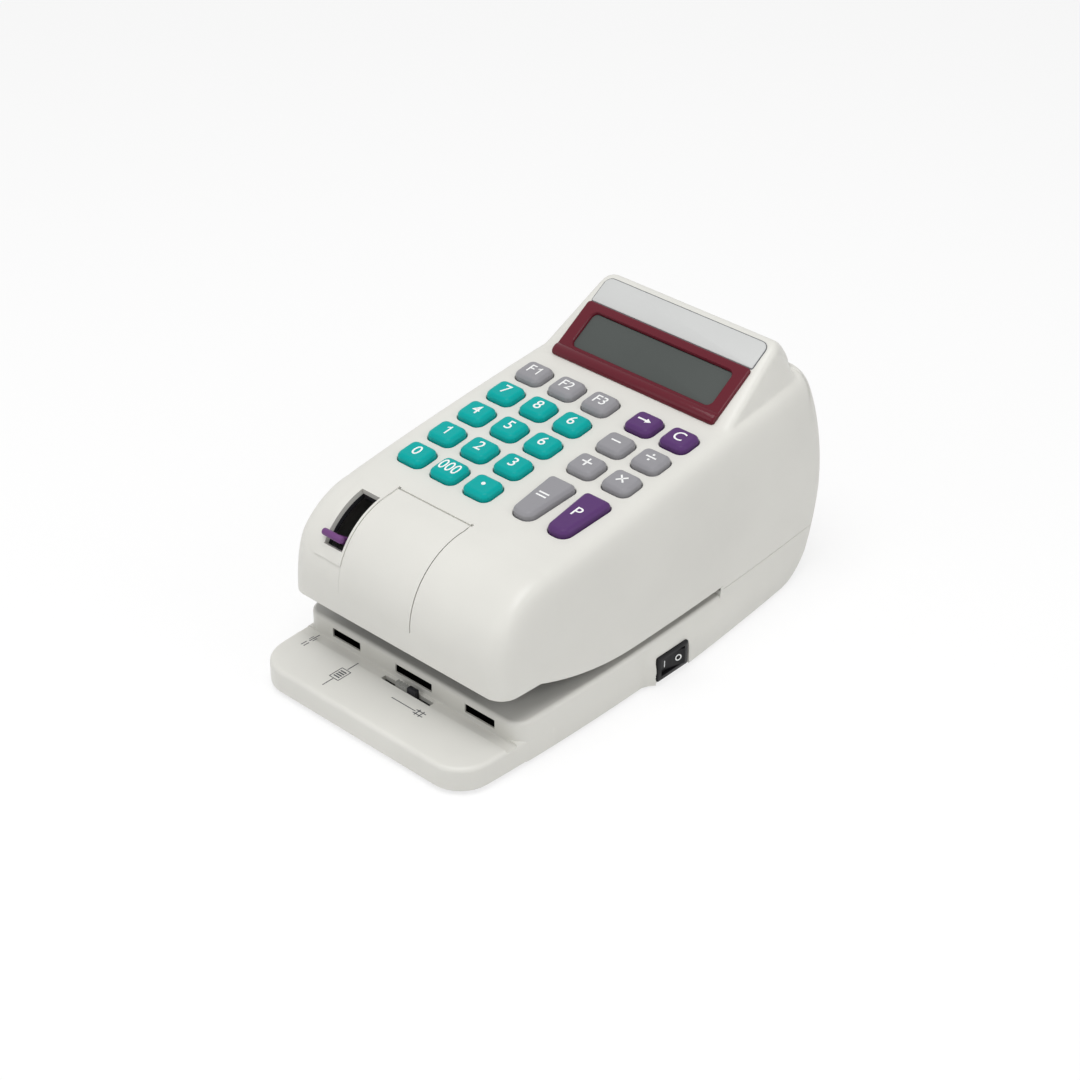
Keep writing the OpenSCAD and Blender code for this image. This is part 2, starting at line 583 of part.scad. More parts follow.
// Upper housing: the head and the hood as one moulded shell
module throat_cut(d) {
  n = 8;
  rotate([90, 0, 90]) linear_extrude(3*body_w, center = true) polygon(concat(
    [[front_y - 9, 0], [front_y - 9, nose_z + d]],
    [for (i = [0:n]) let (y = roof_start_y + (roof_flat_y - roof_start_y)*i/n) [y, roof_at(y) + d]],
    [[throat_y + d, roof_z + d], [throat_y + d, seam_z + d], [rear_y + 9, seam_z + d], [rear_y + 9, 0]]));
}
module upper_housing() {
  color(housing_col) difference() {
    union() {
      head_form(0);
      hood_form(0);
    }
    difference() {
      union() {
        head_form(wall);
        hood_form(wall);
      }
      // posts that the key board is screwed to
      for (p = post_xy) on_deck(p[0], p[1], -key_in) cylinder(r = 1.6, h = key_in, $fn = 16);
    }
    throat_cut(0);
    for (k = KEYS) on_deck(col_x[k[1]], key_y(k)) translate([0, 0, -wall - 1]) linear_extrude(wall + 9)
      key_plan(k, key_gap);
    // display window and label recess
    on_face(bezel_l/2) translate([-window_w/2 - 4, -window_l/2 - 2, -wall - 3])
      cube([window_w + 8, window_l + 3, 20]);
    // ink roller bay and lever slot
    cover_zone(cover_gap, pin_drop + 0.1);
    slot_cut();
    for (s = [-1, 1]) translate([cover_x + s*(cover_w/2 + 1), hinge_y, hinge_z]) rotate([0, 90, 0])
      cylinder(r = cover_pin_r + run, h = 4.4, center = true, $fn = 20);
  }
}
module slot_cut() {
  slot_band(slot_l - fit, cover_x - cover_w/2 - cover_gap + eps, nose_r - 6, nose_r + 6,
    slot_a0 - 3, slot_a1 + 3);
}

// Plate that closes the head above the throat
module head_plate() {
  t = head_t;
  n = 8;
  color([0.3, 0.3, 0.31]) difference() {
    intersection() {
      rotate([90, 0, 90]) linear_extrude(2*body_w, center = true) polygon(concat(
        [[nose_y + wall + fit, nose_z + t], [nose_y + wall + fit, nose_z]],
        [for (i = [0:n]) let (y = roof_start_y + (roof_flat_y - roof_start_y)*i/n) [y, roof_at(y)]],
        [[throat_y - fit, roof_z], [throat_y - fit, roof_z + t]],
        [for (i = [n:-1:0]) let (y = roof_start_y + (roof_flat_y - roof_start_y)*i/n)
          [y + 0.5, roof_at(y) + t]]));
      linear_extrude(200) outline(nose_y, rear_y, nose_corner_r + wall + fit, 8, wall + fit);
    }
    // relief under the type wheels' pinion
    translate([gear_x - fit, wheel_y, wheel_z]) rotate([0, 90, 0])
      cylinder(r = gear_m*(wheel_teeth/2 + 1) + fit, h = gear_w + 2*fit, $fn = 48);
    translate([roll_x0 - 2, wheel_y - type_r, 0]) cube([roll_x1 - roll_x0 + 4, 2*type_r, 80]);
    translate([roll_x0 - 1, roll_y - pinch_r - 1, 0]) cube([roll_x1 - roll_x0 + 2, 2*pinch_r + 2, 80]);
  }
}

// ---- Display ----
window_up = 0.9;                 // how far the window sits above the middle of the bezel
glass_t = 1.6;                   // thickness of the window's pane
module display_bezel() {
  color(maroon) on_face(bezel_l/2, glue) difference() {
    hull() {
      linear_extrude(bezel_t - 0.8) rounded(bezel_w, bezel_l, 2);
      translate([0, 0, bezel_t - eps]) linear_extrude(eps) rounded(bezel_w - 1.6, bezel_l - 1.6, 1.4);
      translate([0, -bezel_l/2 + 2.6, bezel_t]) rotate([0, 90, 0])
        cylinder(r = 1.2, h = bezel_w - 4, center = true, $fn = 16);
    }
    translate([0, window_up, -1]) linear_extrude(20) rounded(window_w, window_l, 2);
  }
}
module display_window() {
  color([0.35, 0.37, 0.36, 0.6]) on_face(bezel_l/2 + window_up, -1) linear_extrude(glass_t)
    rounded(window_w - 2*fit, window_l - 2*fit, 1.7);
}
module lcd_module() {
  on_face(bezel_l/2 + window_up, -8) {
    color([0.1, 0.35, 0.2]) translate([-window_w/2 - 2, -window_l/2 - 1.4, 0])
      cube([window_w + 4, window_l + 2, board_t]);
    color("silver") translate([-window_w/2, -window_l/2 - 0.4, board_t]) cube([window_w, window_l, 5]);
  }
}
plate_l = 15.4;                  // length of the bare label plate
module label_plate() {
  color([0.82, 0.83, 0.84]) on_face(bezel_l + plate_l/2 + 0.6, glue) linear_extrude(0.7)
    rounded(bezel_w - 1, plate_l, 3);
}

// ---- Nose parts ----
slot_l = slot_x - slot_w/2 - 1.2; // left face of the slot bezel's sleeve
slot_rim = cover_x - cover_w/2 - 2*cover_gap; // its right face, along the cover
module slot_band(x0, x1, r0, r1, a0, a1) {
  translate([(x0 + x1)/2, 0, 0]) nose_sector(x1 - x0, r0, r1, a0, a1);
}
module slot_bezel() {
  color(housing_col) difference() {
    union() {
      slot_band(slot_l - 2, slot_rim, nose_r + 0.08, nose_r + 0.6, bezel_a0, bezel_a1);
      slot_band(slot_l, slot_rim, nose_r - wall - 3, nose_r + 0.3, slot_a0 - 2.5, slot_a1 + 2.5);
    }
    translate([slot_x, 0, 0]) nose_sector(slot_w, nose_r - 12, nose_r + 6, slot_a0, slot_a1);
  }
}
lever_x = slot_x + 3.2;
module print_lever() {
  color(purple) translate([0, nose_cy, nose_cz]) rotate([lever_angle, 0, 0]) {
    translate([lever_x - 1.4, -2, 3]) cube([2.8, 4, nose_r - 1]);
    translate([lever_x + 2.2, 0, nose_r + lever_rod_r + 1.1]) rotate([0, -90, 0])
      cylinder(r = lever_rod_r, h = 12, $fn = 24);
    translate([lever_x - 1.4, 0, 0]) rotate([0, 90, 0]) difference() {
      cylinder(r = 4.5, h = 2.8, $fn = 32);
      translate([0, 0, -1]) cylinder(r = shaft_r + run, h = 6, $fn = 32);
    }
  }
}
module ink_cover() {
  color(housing_col) {
    difference() {
      intersection() {
        head_form(0);
        cover_zone(0, 0);
      }
      head_form(wall);
    }
    translate([cover_x, hinge_y, hinge_z]) rotate([0, 90, 0]) {
      cylinder(r = pin_drop, h = cover_w, center = true, $fn = 20);
      cylinder(r = cover_pin_r, h = cover_w + 5, center = true, $fn = 20);
    }
  }
}

// ---- Mechanism in the head ----
// Involute gear outline: module, teeth, tooth thinning
function inv_point(rb, t) = rb*[cos(t) + t*PI/180*sin(t), sin(t) - t*PI/180*cos(t)];
function polar_turn(p, a) = [p[0]*cos(a) - p[1]*sin(a), p[0]*sin(a) + p[1]*cos(a)];
module gear_2d(m, z, thin = 0.12) {
  rp = m*z/2;
  rb = rp*cos(20);
  ra = rp + m*0.9;
  rf = rp - m*1.2;
  tp = sqrt(pow(rp/rb, 2) - 1)*180/PI;
  ta = sqrt(pow(ra/rb, 2) - 1)*180/PI;
  half = 90/z - thin/rp*90/PI;
  turn = half + tp - atan(tp*PI/180);
  flank = [for (i = [0:3]) polar_turn(inv_point(rb, ta*i/3), -turn)];
  polygon([for (k = [0:z - 1]) let (a = 360*k/z) each concat(
    [polar_turn([rf, 0], a - half - 360/z*0.12)],
    [for (i = [0:3]) polar_turn(flank[i], a)],
    [for (i = [3:-1:0]) polar_turn([flank[i][0], -flank[i][1]], a)],
    [polar_turn([rf, 0], a + half + 360/z*0.12)])]);
}
// Gear with its axis along X, turned so that a tooth points at an angle in the YZ plane
module gear_x(m, z, w, bore, tooth_a) {
  rotate([tooth_a, 0, 0]) rotate([90, 0, 90]) difference() {
    linear_extrude(w) gear_2d(m, z);
    translate([0, 0, -1]) cylinder(r = bore, h = w + 2, $fn = 32);
  }
}
motor_l = 38;                    // length of the motor's can
boss_r = 5;                      // radius of the boss on its end
motor_shaft_r = 1;
frame_y0 = roof_start_y + 1;
head_t = 2;                      // thickness of the plate over the throat
module frame_plate(x, with_lever) {
  color("lightsteelblue") translate([x, 0, 0]) rotate([90, 0, 90]) difference() {
    linear_extrude(frame_t) polygon(concat(
      [for (i = [0:8]) let (y = frame_y0 + (roll_y + 12 - frame_y0)*i/8) [y, roof_at(y) + head_t + fit]],
      [[roll_y + 12, pinch_z + 10], [motor_y + motor_r, motor_z - motor_r - 2],
        [motor_y + motor_r, motor_z + motor_r], [drive_y - 6, motor_z + motor_r],
        [ink_y - 6, ink_z + 7], [ink_y - 8, ink_z - 7]]));
    for (p = [[wheel_y, wheel_z], [ink_y, ink_z], [drive_y, drive_z], [roll_y, pinch_z]])
      translate([p[0], p[1], -1]) cylinder(r = shaft_r + run, h = frame_t + 2, $fn = 32);
    if (!with_lever) translate([motor_y, motor_z, -1]) cylinder(r = boss_r + run, h = frame_t + 2, $fn = 32);
  }
  if (with_lever) color("silver") translate([x - 6.5, nose_cy, nose_cz]) rotate([0, 90, 0])
    cylinder(r = shaft_r, h = 6.5 + eps, $fn = 32);
}
module frame_left() frame_plate(frame_lx - frame_t, true);
module frame_right() frame_plate(frame_rx, false);
module type_wheels() {
  wheel_w = (roll_x1 - roll_x0 - 4)/type_count;
  translate([0, wheel_y, wheel_z]) {
    color("dimgray") rotate([0, 90, 0]) translate([0, 0, roll_x0 + 2]) for (i = [0:type_count - 1])
      translate([0, 0, i*wheel_w]) {
        cylinder(r = type_r - 1.6, h = wheel_w, $fn = 48);
        for (a = [0:36:324]) rotate([0, 0, a + 18]) translate([type_r - 2.6, -3.2, 0.5])
          cube([2, 6.4, wheel_w - 1]);
      }
    color("silver") rotate([0, 90, 0]) translate([0, 0, frame_lx - 1.5])
      cylinder(r = shaft_r, h = gear_x + gear_w - frame_lx + 2, $fn = 32);
    color("gold") translate([gear_x, 0, 0]) gear_x(gear_m, wheel_teeth, gear_w, shaft_r - 0.2, drive_a);
  }
}
module ink_roller() {
  translate([0, ink_y, ink_z]) rotate([0, 90, 0]) {
    color([0.16, 0.14, 0.2]) translate([0, 0, roll_x0]) cylinder(r = ink_r, h = roll_x1 - roll_x0, $fn = 48);
    color("white") translate([0, 0, frame_lx - 1.4])
      cylinder(r = shaft_r, h = frame_rx - frame_lx + 2.8, $fn = 32);
  }
}
module pinch_roller() {
  translate([0, roll_y, pinch_z]) rotate([0, 90, 0]) {
    color([0.2, 0.2, 0.2]) for (x = tyre_x) translate([0, 0, x]) cylinder(r = pinch_r, h = tyre_w, $fn = 48);
    color("silver") translate([0, 0, frame_lx - 1.4])
      cylinder(r = shaft_r, h = frame_rx - frame_lx + 2.8, $fn = 32);
  }
}
drive_turn = drive_a + 180 + 180/drive_teeth; // angle at which its tooth meets a gap of the pinion
module drive_gear() {
  translate([0, drive_y, drive_z]) {
    color("white") translate([gear_x, 0, 0]) gear_x(gear_m, drive_teeth, gear_w, shaft_r - 0.2, drive_turn);
    color("silver") rotate([0, 90, 0]) translate([0, 0, frame_rx - 5])
      cylinder(r = shaft_r, h = gear_x + gear_w - frame_rx + 6, $fn = 32);
  }
}
module drive_motor() {
  translate([0, motor_y, motor_z]) rotate([0, 90, 0]) difference() {
    union() {
      color("silver") translate([0, 0, frame_rx - motor_l]) cylinder(r = motor_r, h = motor_l, $fn = 48);
      color("silver") translate([0, 0, frame_rx - 1]) cylinder(r = boss_r, h = frame_t + 1, $fn = 32);
    }
    translate([0, 0, frame_rx - 12]) cylinder(r = motor_shaft_r + run, h = 20, $fn = 24);
  }
}
module motor_pinion() {
  // the tooth that meets the drive gear is turned to fall in one of its gaps
  mesh_turn = (motor_a - drive_turn)*drive_teeth/motor_teeth;
  translate([0, motor_y, motor_z]) {
    color("gold") translate([gear_x, 0, 0])
      gear_x(gear_m, motor_teeth, gear_w, 0.8, motor_a + 180 + 180/motor_teeth + mesh_turn);
    color("silver") rotate([0, 90, 0]) translate([0, 0, frame_rx - 11])
      cylinder(r = motor_shaft_r, h = gear_x + gear_w - frame_rx + 11.5, $fn = 24);
  }
}

// ---- Electronics under the key deck ----
board_x = (col_x[0] + col_x[4])/2;
board_w = col_x[4] - col_x[0] + key_w + 4.4;
board_l = 4*key_py + key_d + 9.4;
board_t = 1.6;
membrane_t = 1.2;
module key_membrane() {
  color([0.75, 0.75, 0.7]) on_deck(board_x, (row_y(0) + row_y(4))/2, -key_in - membrane_t)
    translate([-board_w/2, -board_l/2, 0]) cube([board_w, board_l, membrane_t]);
}
module main_board() {
  color([0.08, 0.35, 0.18]) on_deck(board_x, (row_y(0) + row_y(4))/2, -key_in - membrane_t - board_t) {
    translate([-board_w/2, -board_l/2, 0]) cube([board_w, board_l, board_t]);
    translate([-20, 20, -5]) cube([28, 12, 5]);
    translate([24, 4, -3]) cube([16, 16, 3]);
  }
}

// ---- Power switch and inlet ----
pivot_in = 1.2;                  // depth of the rocker's pivot behind the flange
pivot_r = 0.9;
module switch_body() {
  color([0.1, 0.1, 0.11]) difference() {
    union() {
      translate([switch_x, switch_y - switch_l/2, switch_z - switch_h/2]) cube([1.4, switch_l, switch_h]);
      translate([switch_x - 11, switch_y - switch_l/2 + 1.8, switch_z - switch_h/2 + 1.3])
        cube([11 + eps, switch_l - 3.6, switch_h - 2.6]);
    }
    translate([switch_x - 7, switch_y - switch_l/2 + 3, switch_z - switch_h/2 + 2.4])
      cube([12, switch_l - 6, switch_h - 4.8]);
    translate([switch_x - pivot_in, switch_y, switch_z])
      cylinder(r = pivot_r + run, h = switch_h, center = true, $fn = 24);
  }
}
module switch_rocker() {
  l = switch_l - 7.2;
  h = switch_h - 5.4;
  color([0.14, 0.14, 0.15]) translate([switch_x - pivot_in, switch_y, switch_z]) rotate([0, 0, -rocker_throw/2])
    union() {
      translate([0, 0, -h/2]) linear_extrude(h)
        polygon([[-2.6, -l/2 + 1.2], [2.4, -l/2], [1.5, 0], [2.4, l/2], [-2.6, l/2 - 1.2]]);
      cylinder(r = pivot_r, h = switch_h - 3.2, center = true, $fn = 24);
    }
}
module dc_jack() {
  color([0.1, 0.1, 0.1]) translate([jack_x, rear_at(jack_z) - 17.6, jack_z]) rotate([-90, 0, 0]) difference() {
    cylinder(r = 4.2, h = 16, $fn = 32);
    translate([0, 0, 6]) cylinder(r = 2.75, h = 12, $fn = 32);
  }
}

base_housing();
bottom_plate();
rubber_feet();
housing_screws();
battery_door();
battery_cells();
stop_slider();
print_hammer();
feed_roller();
upper_housing();
head_plate();
display_bezel();
display_window();
lcd_module();
label_plate();
slot_bezel();
print_lever();
ink_cover();
frame_left();
frame_right();
type_wheels();
ink_roller();
pinch_roller();
drive_gear();
drive_motor();
motor_pinion();
key_membrane();
main_board();
switch_body();
switch_rocker();
dc_jack();
color(teal) key(find_key("key_0"));  // key_0
color(teal) key(find_key("key_000"));  // key_000
color(teal) key(find_key("key_dot"));  // key_dot
color(teal) key(find_key("key_1"));  // key_1
color(teal) key(find_key("key_2"));  // key_2
color(teal) key(find_key("key_3"));  // key_3
color(teal) key(find_key("key_4"));  // key_4
color(teal) key(find_key("key_5"));  // key_5
color(teal) key(find_key("key_6"));  // key_6
color(teal) key(find_key("key_7"));  // key_7
color(teal) key(find_key("key_8"));  // key_8
color(teal) key(find_key("key_9"));  // key_9
color(grey) key(find_key("key_f1"));  // key_f1
color(grey) key(find_key("key_f2"));  // key_f2
color(grey) key(find_key("key_f3"));  // key_f3
color(purple) key(find_key("key_arrow"));  // key_arrow
color(purple) key(find_key("key_c"));  // key_c
color(grey) key(find_key("key_minus"));  // key_minus
color(grey) key(find_key("key_divide"));  // key_divide
color(grey) key(find_key("key_plus"));  // key_plus
color(grey) key(find_key("key_times"));  // key_times
color(grey) key(find_key("key_equals"));  // key_equals
color(purple) key(find_key("key_print"));  // key_print
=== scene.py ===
import json
import bmesh
import bpy
import numpy as np
from mathutils import Matrix, Vector

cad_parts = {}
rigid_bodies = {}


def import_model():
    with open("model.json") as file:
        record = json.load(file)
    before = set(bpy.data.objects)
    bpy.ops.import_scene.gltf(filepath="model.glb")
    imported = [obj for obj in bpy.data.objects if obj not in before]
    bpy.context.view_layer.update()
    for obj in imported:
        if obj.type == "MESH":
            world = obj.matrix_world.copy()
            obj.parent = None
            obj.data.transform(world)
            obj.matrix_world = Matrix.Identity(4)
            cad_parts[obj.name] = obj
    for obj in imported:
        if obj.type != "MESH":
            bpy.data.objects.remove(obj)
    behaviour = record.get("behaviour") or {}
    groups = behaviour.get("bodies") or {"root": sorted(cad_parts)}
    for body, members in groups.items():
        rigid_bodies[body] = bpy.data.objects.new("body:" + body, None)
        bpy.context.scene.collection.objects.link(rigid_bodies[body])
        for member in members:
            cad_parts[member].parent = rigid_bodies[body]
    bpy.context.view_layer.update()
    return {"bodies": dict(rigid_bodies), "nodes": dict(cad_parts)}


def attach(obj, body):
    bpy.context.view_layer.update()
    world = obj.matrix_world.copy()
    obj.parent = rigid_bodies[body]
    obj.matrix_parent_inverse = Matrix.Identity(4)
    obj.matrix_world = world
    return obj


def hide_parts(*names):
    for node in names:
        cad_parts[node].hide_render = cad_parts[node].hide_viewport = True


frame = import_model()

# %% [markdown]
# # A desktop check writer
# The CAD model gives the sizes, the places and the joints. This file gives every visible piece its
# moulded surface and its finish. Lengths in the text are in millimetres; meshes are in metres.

MM = 0.001
NODES = frame["nodes"]

# %% [markdown]
# ## Sizes of the housing
# These are the named values of the CAD source, repeated here so that the smooth surfaces land
# where the solids are: the bowed sides, the nose arc, the tilted key deck and the bowed rear wall.
# Three places depart from it. The display hood is a little wider at its foot, with more draft and
# rounder rear corners, which lets the body's shoulder run on beside it as a separate fold. The ink
# roller cover is 0.8 mm narrower, and the opening of the lever's slot is about 2 mm wider.

# %% Sizes of the housing
FRONT_Y, REAR_Y = -141.5, 141.5
BODY_W, BOW_FRONT = 152.0, 34.0
BOW_FRONT_R, BOW_REAR_R = 1300.0, 2000.0
WALL = 2.4
BASE_Z, TRAY_Z, DECK_Z, SEAM_Z = 2.0, 15.5, 26.0, 29.0
WALL_Y, NOSE_Y, THROAT_Y = -104.0, -114.5, 47.5
NOSE_Z, ROOF_Z, ROOF_START_Y, ROOF_FLAT_Y = 44.0, 31.0, -88.5, -21.0
HEAD_H, TILT = 107.0, np.radians(7.0)
NOSE_R, REAR_R, REAR_Z = 39.0, 124.0, 62.0
HOOD_TOP, FACE_TILT, FOOT_Y, HOOD_W, HOOD_DRAFT = 144.0, np.radians(32.7), 59.5, 64.2, 6.0
HOOD_CORNER_R = 15.0
SIDE_POW, TOP_POW, SHOULDER_H = 28.0, 1.5, 50.0
NOSE_CY = NOSE_Y + NOSE_R


def deck_at(y):
    """Height of the key deck: its height at the middle plus its slope times y."""
    return HEAD_H + np.tan(TILT) * y


NOSE_CZ = deck_at(NOSE_CY) - NOSE_R / np.cos(TILT)
REAR_CY = REAR_Y - REAR_R
FOOT_Z = deck_at(FOOT_Y)


def half_width(y):
    """Half width of the bowed body: the widest value less the square of the distance from the
    widest point over twice the bow's radius."""
    bow = np.where(y < -BOW_FRONT, BOW_FRONT_R, BOW_REAR_R)
    return BODY_W / 2 - (y + BOW_FRONT) ** 2 / (2 * bow)


def rear_at(z):
    """y of the rear wall at a height: a circle about a line across the body."""
    return REAR_CY + np.sqrt(np.maximum(0, REAR_R ** 2 - (z - REAR_Z) ** 2))


print("half width in front and behind", [round(float(half_width(y)), 1) for y in (FRONT_Y, REAR_Y)])

# %% [markdown]
# ## Mesh helpers
# A moulded piece is a stack of closed rings, each ring worked out as an array. `loft` joins the
# rings with quads and closes both ends, which gives a watertight solid that can be cut by others.

# %% Mesh helpers
PAST = 120.0


def put_mesh(name, verts, faces):
    """Object with its place in its mesh; verts is an array in mm, faces a list of corner lists."""
    mesh = bpy.data.meshes.new(name)
    mesh.from_pydata((np.asarray(verts, float) * MM).tolist(), [], [list(map(int, f)) for f in faces])
    mesh.update()
    obj = bpy.data.objects.new(name, mesh)
    bpy.context.scene.collection.objects.link(obj)
    return obj


def signed_volume(rings):
    """Six times the volume under the quads of the rings, by the divergence theorem; its sign tells
    whether the quads face outwards."""
    a, b = rings[:-1], np.roll(rings, -1, 1)[:-1]
    c, d = np.roll(rings, -1, 1)[1:], rings[1:]
    return float((np.cross(a, b) * c).sum() + (np.cross(a, c) * d).sum())


def loft_faces(rows, cols, flip, first=0):
    """Quads between neighbouring rings of a closed loft, with a cap at each end."""
    r, c = np.meshgrid(np.arange(rows - 1), np.arange(cols), indexing="ij")
    n = (c + 1) % cols
    quads = np.stack([r * cols + c, r * cols + n, (r + 1) * cols + n, (r + 1) * cols + c], -1)
    faces = (quads.reshape(-1, 4) + first).tolist()
    faces.append([first + i for i in range(cols)][::-1])
    faces.append([first + (rows - 1) * cols + i for i in range(cols)])
    return [f[::-1] for f in faces] if flip else faces


def loft(name, *solids):
    """One object from one or more arrays of closed rings, shape (rings, points, 3) in mm."""
    verts, faces, first = [], [], 0
    for rings in solids:
        rings = np.asarray(rings, float)
        centred = rings - rings.reshape(-1, 3).mean(0)
        faces += loft_faces(*rings.shape[:2], signed_volume(centred) < 0, first)
        verts.append(rings.reshape(-1, 3))
        first += rings.shape[0] * rings.shape[1]
    return put_mesh(name, np.concatenate(verts), faces)


def box_rings(low, high):
    """A plain block as two rings."""
    (x0, y0, z0), (x1, y1, z1) = low, high
    ring = np.array([[x0, y0], [x1, y0], [x1, y1], [x0, y1]], float)
    return np.stack([np.column_stack([ring, np.full(4, z)]) for z in (z0, z1)])


def rod(ends, y=0.0, z=0.0, count=28):
    """Round bar along X about the line y, z: a circle of points for each pair of x and radius."""
    a = np.linspace(0, 2 * np.pi, count, endpoint=False)
    return np.stack([np.column_stack([np.full(count, x), y + r * np.cos(a), z + r * np.sin(a)])
                     for x, r in ends])


def across_body(side):
    """Prism of a side view, given as y and z, that runs past the body on both sides."""
    side = np.asarray(side, float)
    return np.stack([np.column_stack([np.full(len(side), x), side]) for x in (-PAST, PAST)])


def combine(obj, other, how):
    """Cuts, joins or intersects a watertight object with another, and drops the other."""
    mod = obj.modifiers.new("combine", "BOOLEAN")
    mod.operation, mod.object = how, other
    mod.solver = "MANIFOLD"
    depsgraph = bpy.context.evaluated_depsgraph_get()
    mesh = bpy.data.meshes.new_from_object(obj.evaluated_get(depsgraph))
    obj.modifiers.clear()
    old, obj.data = obj.data, mesh
    mesh.name = obj.name
    bpy.data.meshes.remove(old)
    bpy.data.objects.remove(other)
    return obj


def cut(obj, *solids):
    """Takes solids, given as rings, out of an object."""
    return combine(obj, loft("cut", *solids), "DIFFERENCE")


def join(obj, *solids):
    """Joins solids, given as rings, to an object."""
    return combine(obj, loft("join", *solids), "UNION")


def soften(obj, angle=32):
    """Smooth shading that keeps the edges sharper than an angle."""
    obj.data.shade_smooth()
    obj.data.set_sharp_from_angle(angle=np.radians(angle))
    return obj


def dress(obj, material, body="body", replaces=()):
    """Gives a finished piece its material, the body it rides on and the solids it stands for."""
    obj.data.materials.clear()
    obj.data.materials.append(material)
    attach(obj, body)
    if replaces:
        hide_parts(*replaces)
    return obj


print("faces of a block's loft", len(loft_faces(*box_rings((0, 0, 0), (1, 1, 1)).shape[:2], False)))

# %% [markdown]
# ## Finishes
# Moulded plastic is never one flat colour. The mould's spark-eroded grain breaks up the
# highlight, the colour drifts a little over a large moulding, and handling leaves faint smudges
# that show only in the gloss. `moulding` builds that from noise on Object coordinates.

# %% Finishes
def linear(rgb):
    """sRGB from 0 to 255 as linear light, by the standard power curve."""
    c = np.array(rgb, float) / 255
    return [*np.where(c <= 0.04045, c / 12.92, ((c + 0.055) / 1.055) ** 2.4).tolist(), 1.0]


def new_material(name):
    """Empty node material; returns it with its nodes, links and shader."""
    mat = bpy.data.materials.new(name)
    mat.use_nodes = True
    return mat, mat.node_tree.nodes, mat.node_tree.links, mat.node_tree.nodes["Principled BSDF"]


def noise(nodes, links, coords, scale, detail=3.0):
    """Noise texture read from Object coordinates."""
    tex = nodes.new("ShaderNodeTexNoise")
    tex.inputs["Scale"].default_value = scale
    tex.inputs["Detail"].default_value = detail
    links.new(coords.outputs["Object"], tex.inputs["Vector"])
    return tex


def moulding(name, rgb, rough=0.38, grain=0.12, grain_scale=1600, drift=0.035, smudge=0.06,
             coat=0.0, metal=0.0, specular=0.5):
    """Moulded or painted surface: colour drift, smudged roughness and a fine grain as bump."""
    mat, nodes, links, shader = new_material(name)
    coords = nodes.new("ShaderNodeTexCoord")
    ramp = nodes.new("ShaderNodeValToRGB")
    base = np.array(linear(rgb)[:3])
    ramp.color_ramp.elements[0].position, ramp.color_ramp.elements[1].position = 0.3, 0.7
    ramp.color_ramp.elements[0].color = [*(base * (1 - drift)), 1]
    ramp.color_ramp.elements[1].color = [*np.minimum(1, base * (1 + drift * 0.6)), 1]
    links.new(noise(nodes, links, coords, 14).outputs["Fac"], ramp.inputs["Fac"])
    links.new(ramp.outputs["Color"], shader.inputs["Base Color"])
    spread = nodes.new("ShaderNodeMapRange")
    spread.inputs["To Min"].default_value = rough - smudge
    spread.inputs["To Max"].default_value = rough + smudge
    links.new(noise(nodes, links, coords, 45, 5).outputs["Fac"], spread.inputs["Value"])
    links.new(spread.outputs["Result"], shader.inputs["Roughness"])
    bump = nodes.new("ShaderNodeBump")
    bump.inputs["Strength"].default_value = grain
    bump.inputs["Distance"].default_value = 0.00006
    links.new(noise(nodes, links, coords, grain_scale, 2).outputs["Fac"], bump.inputs["Height"])
    links.new(bump.outputs["Normal"], shader.inputs["Normal"])
    shader.inputs["Metallic"].default_value = metal
    shader.inputs["Specular IOR Level"].default_value = specular
    shader.inputs["Coat Weight"].default_value = coat
    shader.inputs["Coat Roughness"].default_value = 0.08
    return mat


HOUSING = moulding("housing_plastic", (220, 219, 213), rough=0.36, grain=0.10, specular=0.35)
KEY_LOOK = dict(rough=0.33, grain=0.18, grain_scale=2200, specular=0.12)
KEY_TEAL = moulding("key_teal_plastic", (0, 163, 159), **KEY_LOOK)
KEY_GREY = moulding("key_grey_plastic", (146, 145, 149), **{**KEY_LOOK, "rough": 0.36, "specular": 0.2})
KEY_PURPLE = moulding("key_purple_plastic", (88, 55, 108), **KEY_LOOK)
LEGEND = moulding("legend_ink", (240, 241, 240), rough=0.5, grain=0.05, drift=0.01)
# Dark ink for the printed tray marks; the same colour also paints the shadow line under the display plate's
# edge.
INK_AND_SHADOW_LINE = moulding("tray_ink_and_painted_shadow", (82, 84, 88), rough=0.55, grain=0.2, drift=0.08)
BEZEL_RED = moulding("bezel_plastic", (97, 26, 39), rough=0.22, grain=0.02, smudge=0.04, coat=0.08,
                     specular=0.15)
WINDOW_GREY = moulding("window_plastic", (80, 84, 82), rough=0.3, grain=0.01, smudge=0.04, drift=0.06,
                       specular=0.12)
PLATE_SILVER = moulding("label_plate_paint", (200, 201, 200), rough=0.42, grain=0.06, specular=0.3)
SWITCH_BLACK = moulding("switch_plastic", (24, 24, 26), rough=0.3, grain=0.08, specular=0.2)
DARK_PLASTIC = moulding("dark_plastic", (42, 42, 45), rough=0.5, grain=0.3, specular=0.25)
LEVER_PURPLE = moulding("lever_plastic", (110, 66, 120), rough=0.3, grain=0.1, specular=0.2)
RUBBER = moulding("foot_rubber", (34, 34, 35), rough=0.75, grain=0.4, grain_scale=900)
STEEL = moulding("zinc_steel", (176, 178, 182), rough=0.32, grain=0.1, metal=1.0, drift=0.1)
DARK_STEEL = moulding("type_steel", (70, 70, 74), rough=0.38, grain=0.2, metal=1.0, drift=0.12)
BRASS = moulding("gear_brass", (205, 172, 105), rough=0.3, grain=0.1, metal=1.0)
ACETAL = moulding("gear_acetal", (228, 226, 216), rough=0.42, grain=0.1)
FELT = moulding("ink_felt", (38, 34, 52), rough=0.92, grain=1.0, grain_scale=1400, drift=0.3)
CELL_JACKET = moulding("cell_jacket", (52, 84, 74), rough=0.28, grain=0.04)
BOARD_GREEN = moulding("board_mask", (28, 92, 58), rough=0.34, grain=0.3, grain_scale=500, drift=0.2)
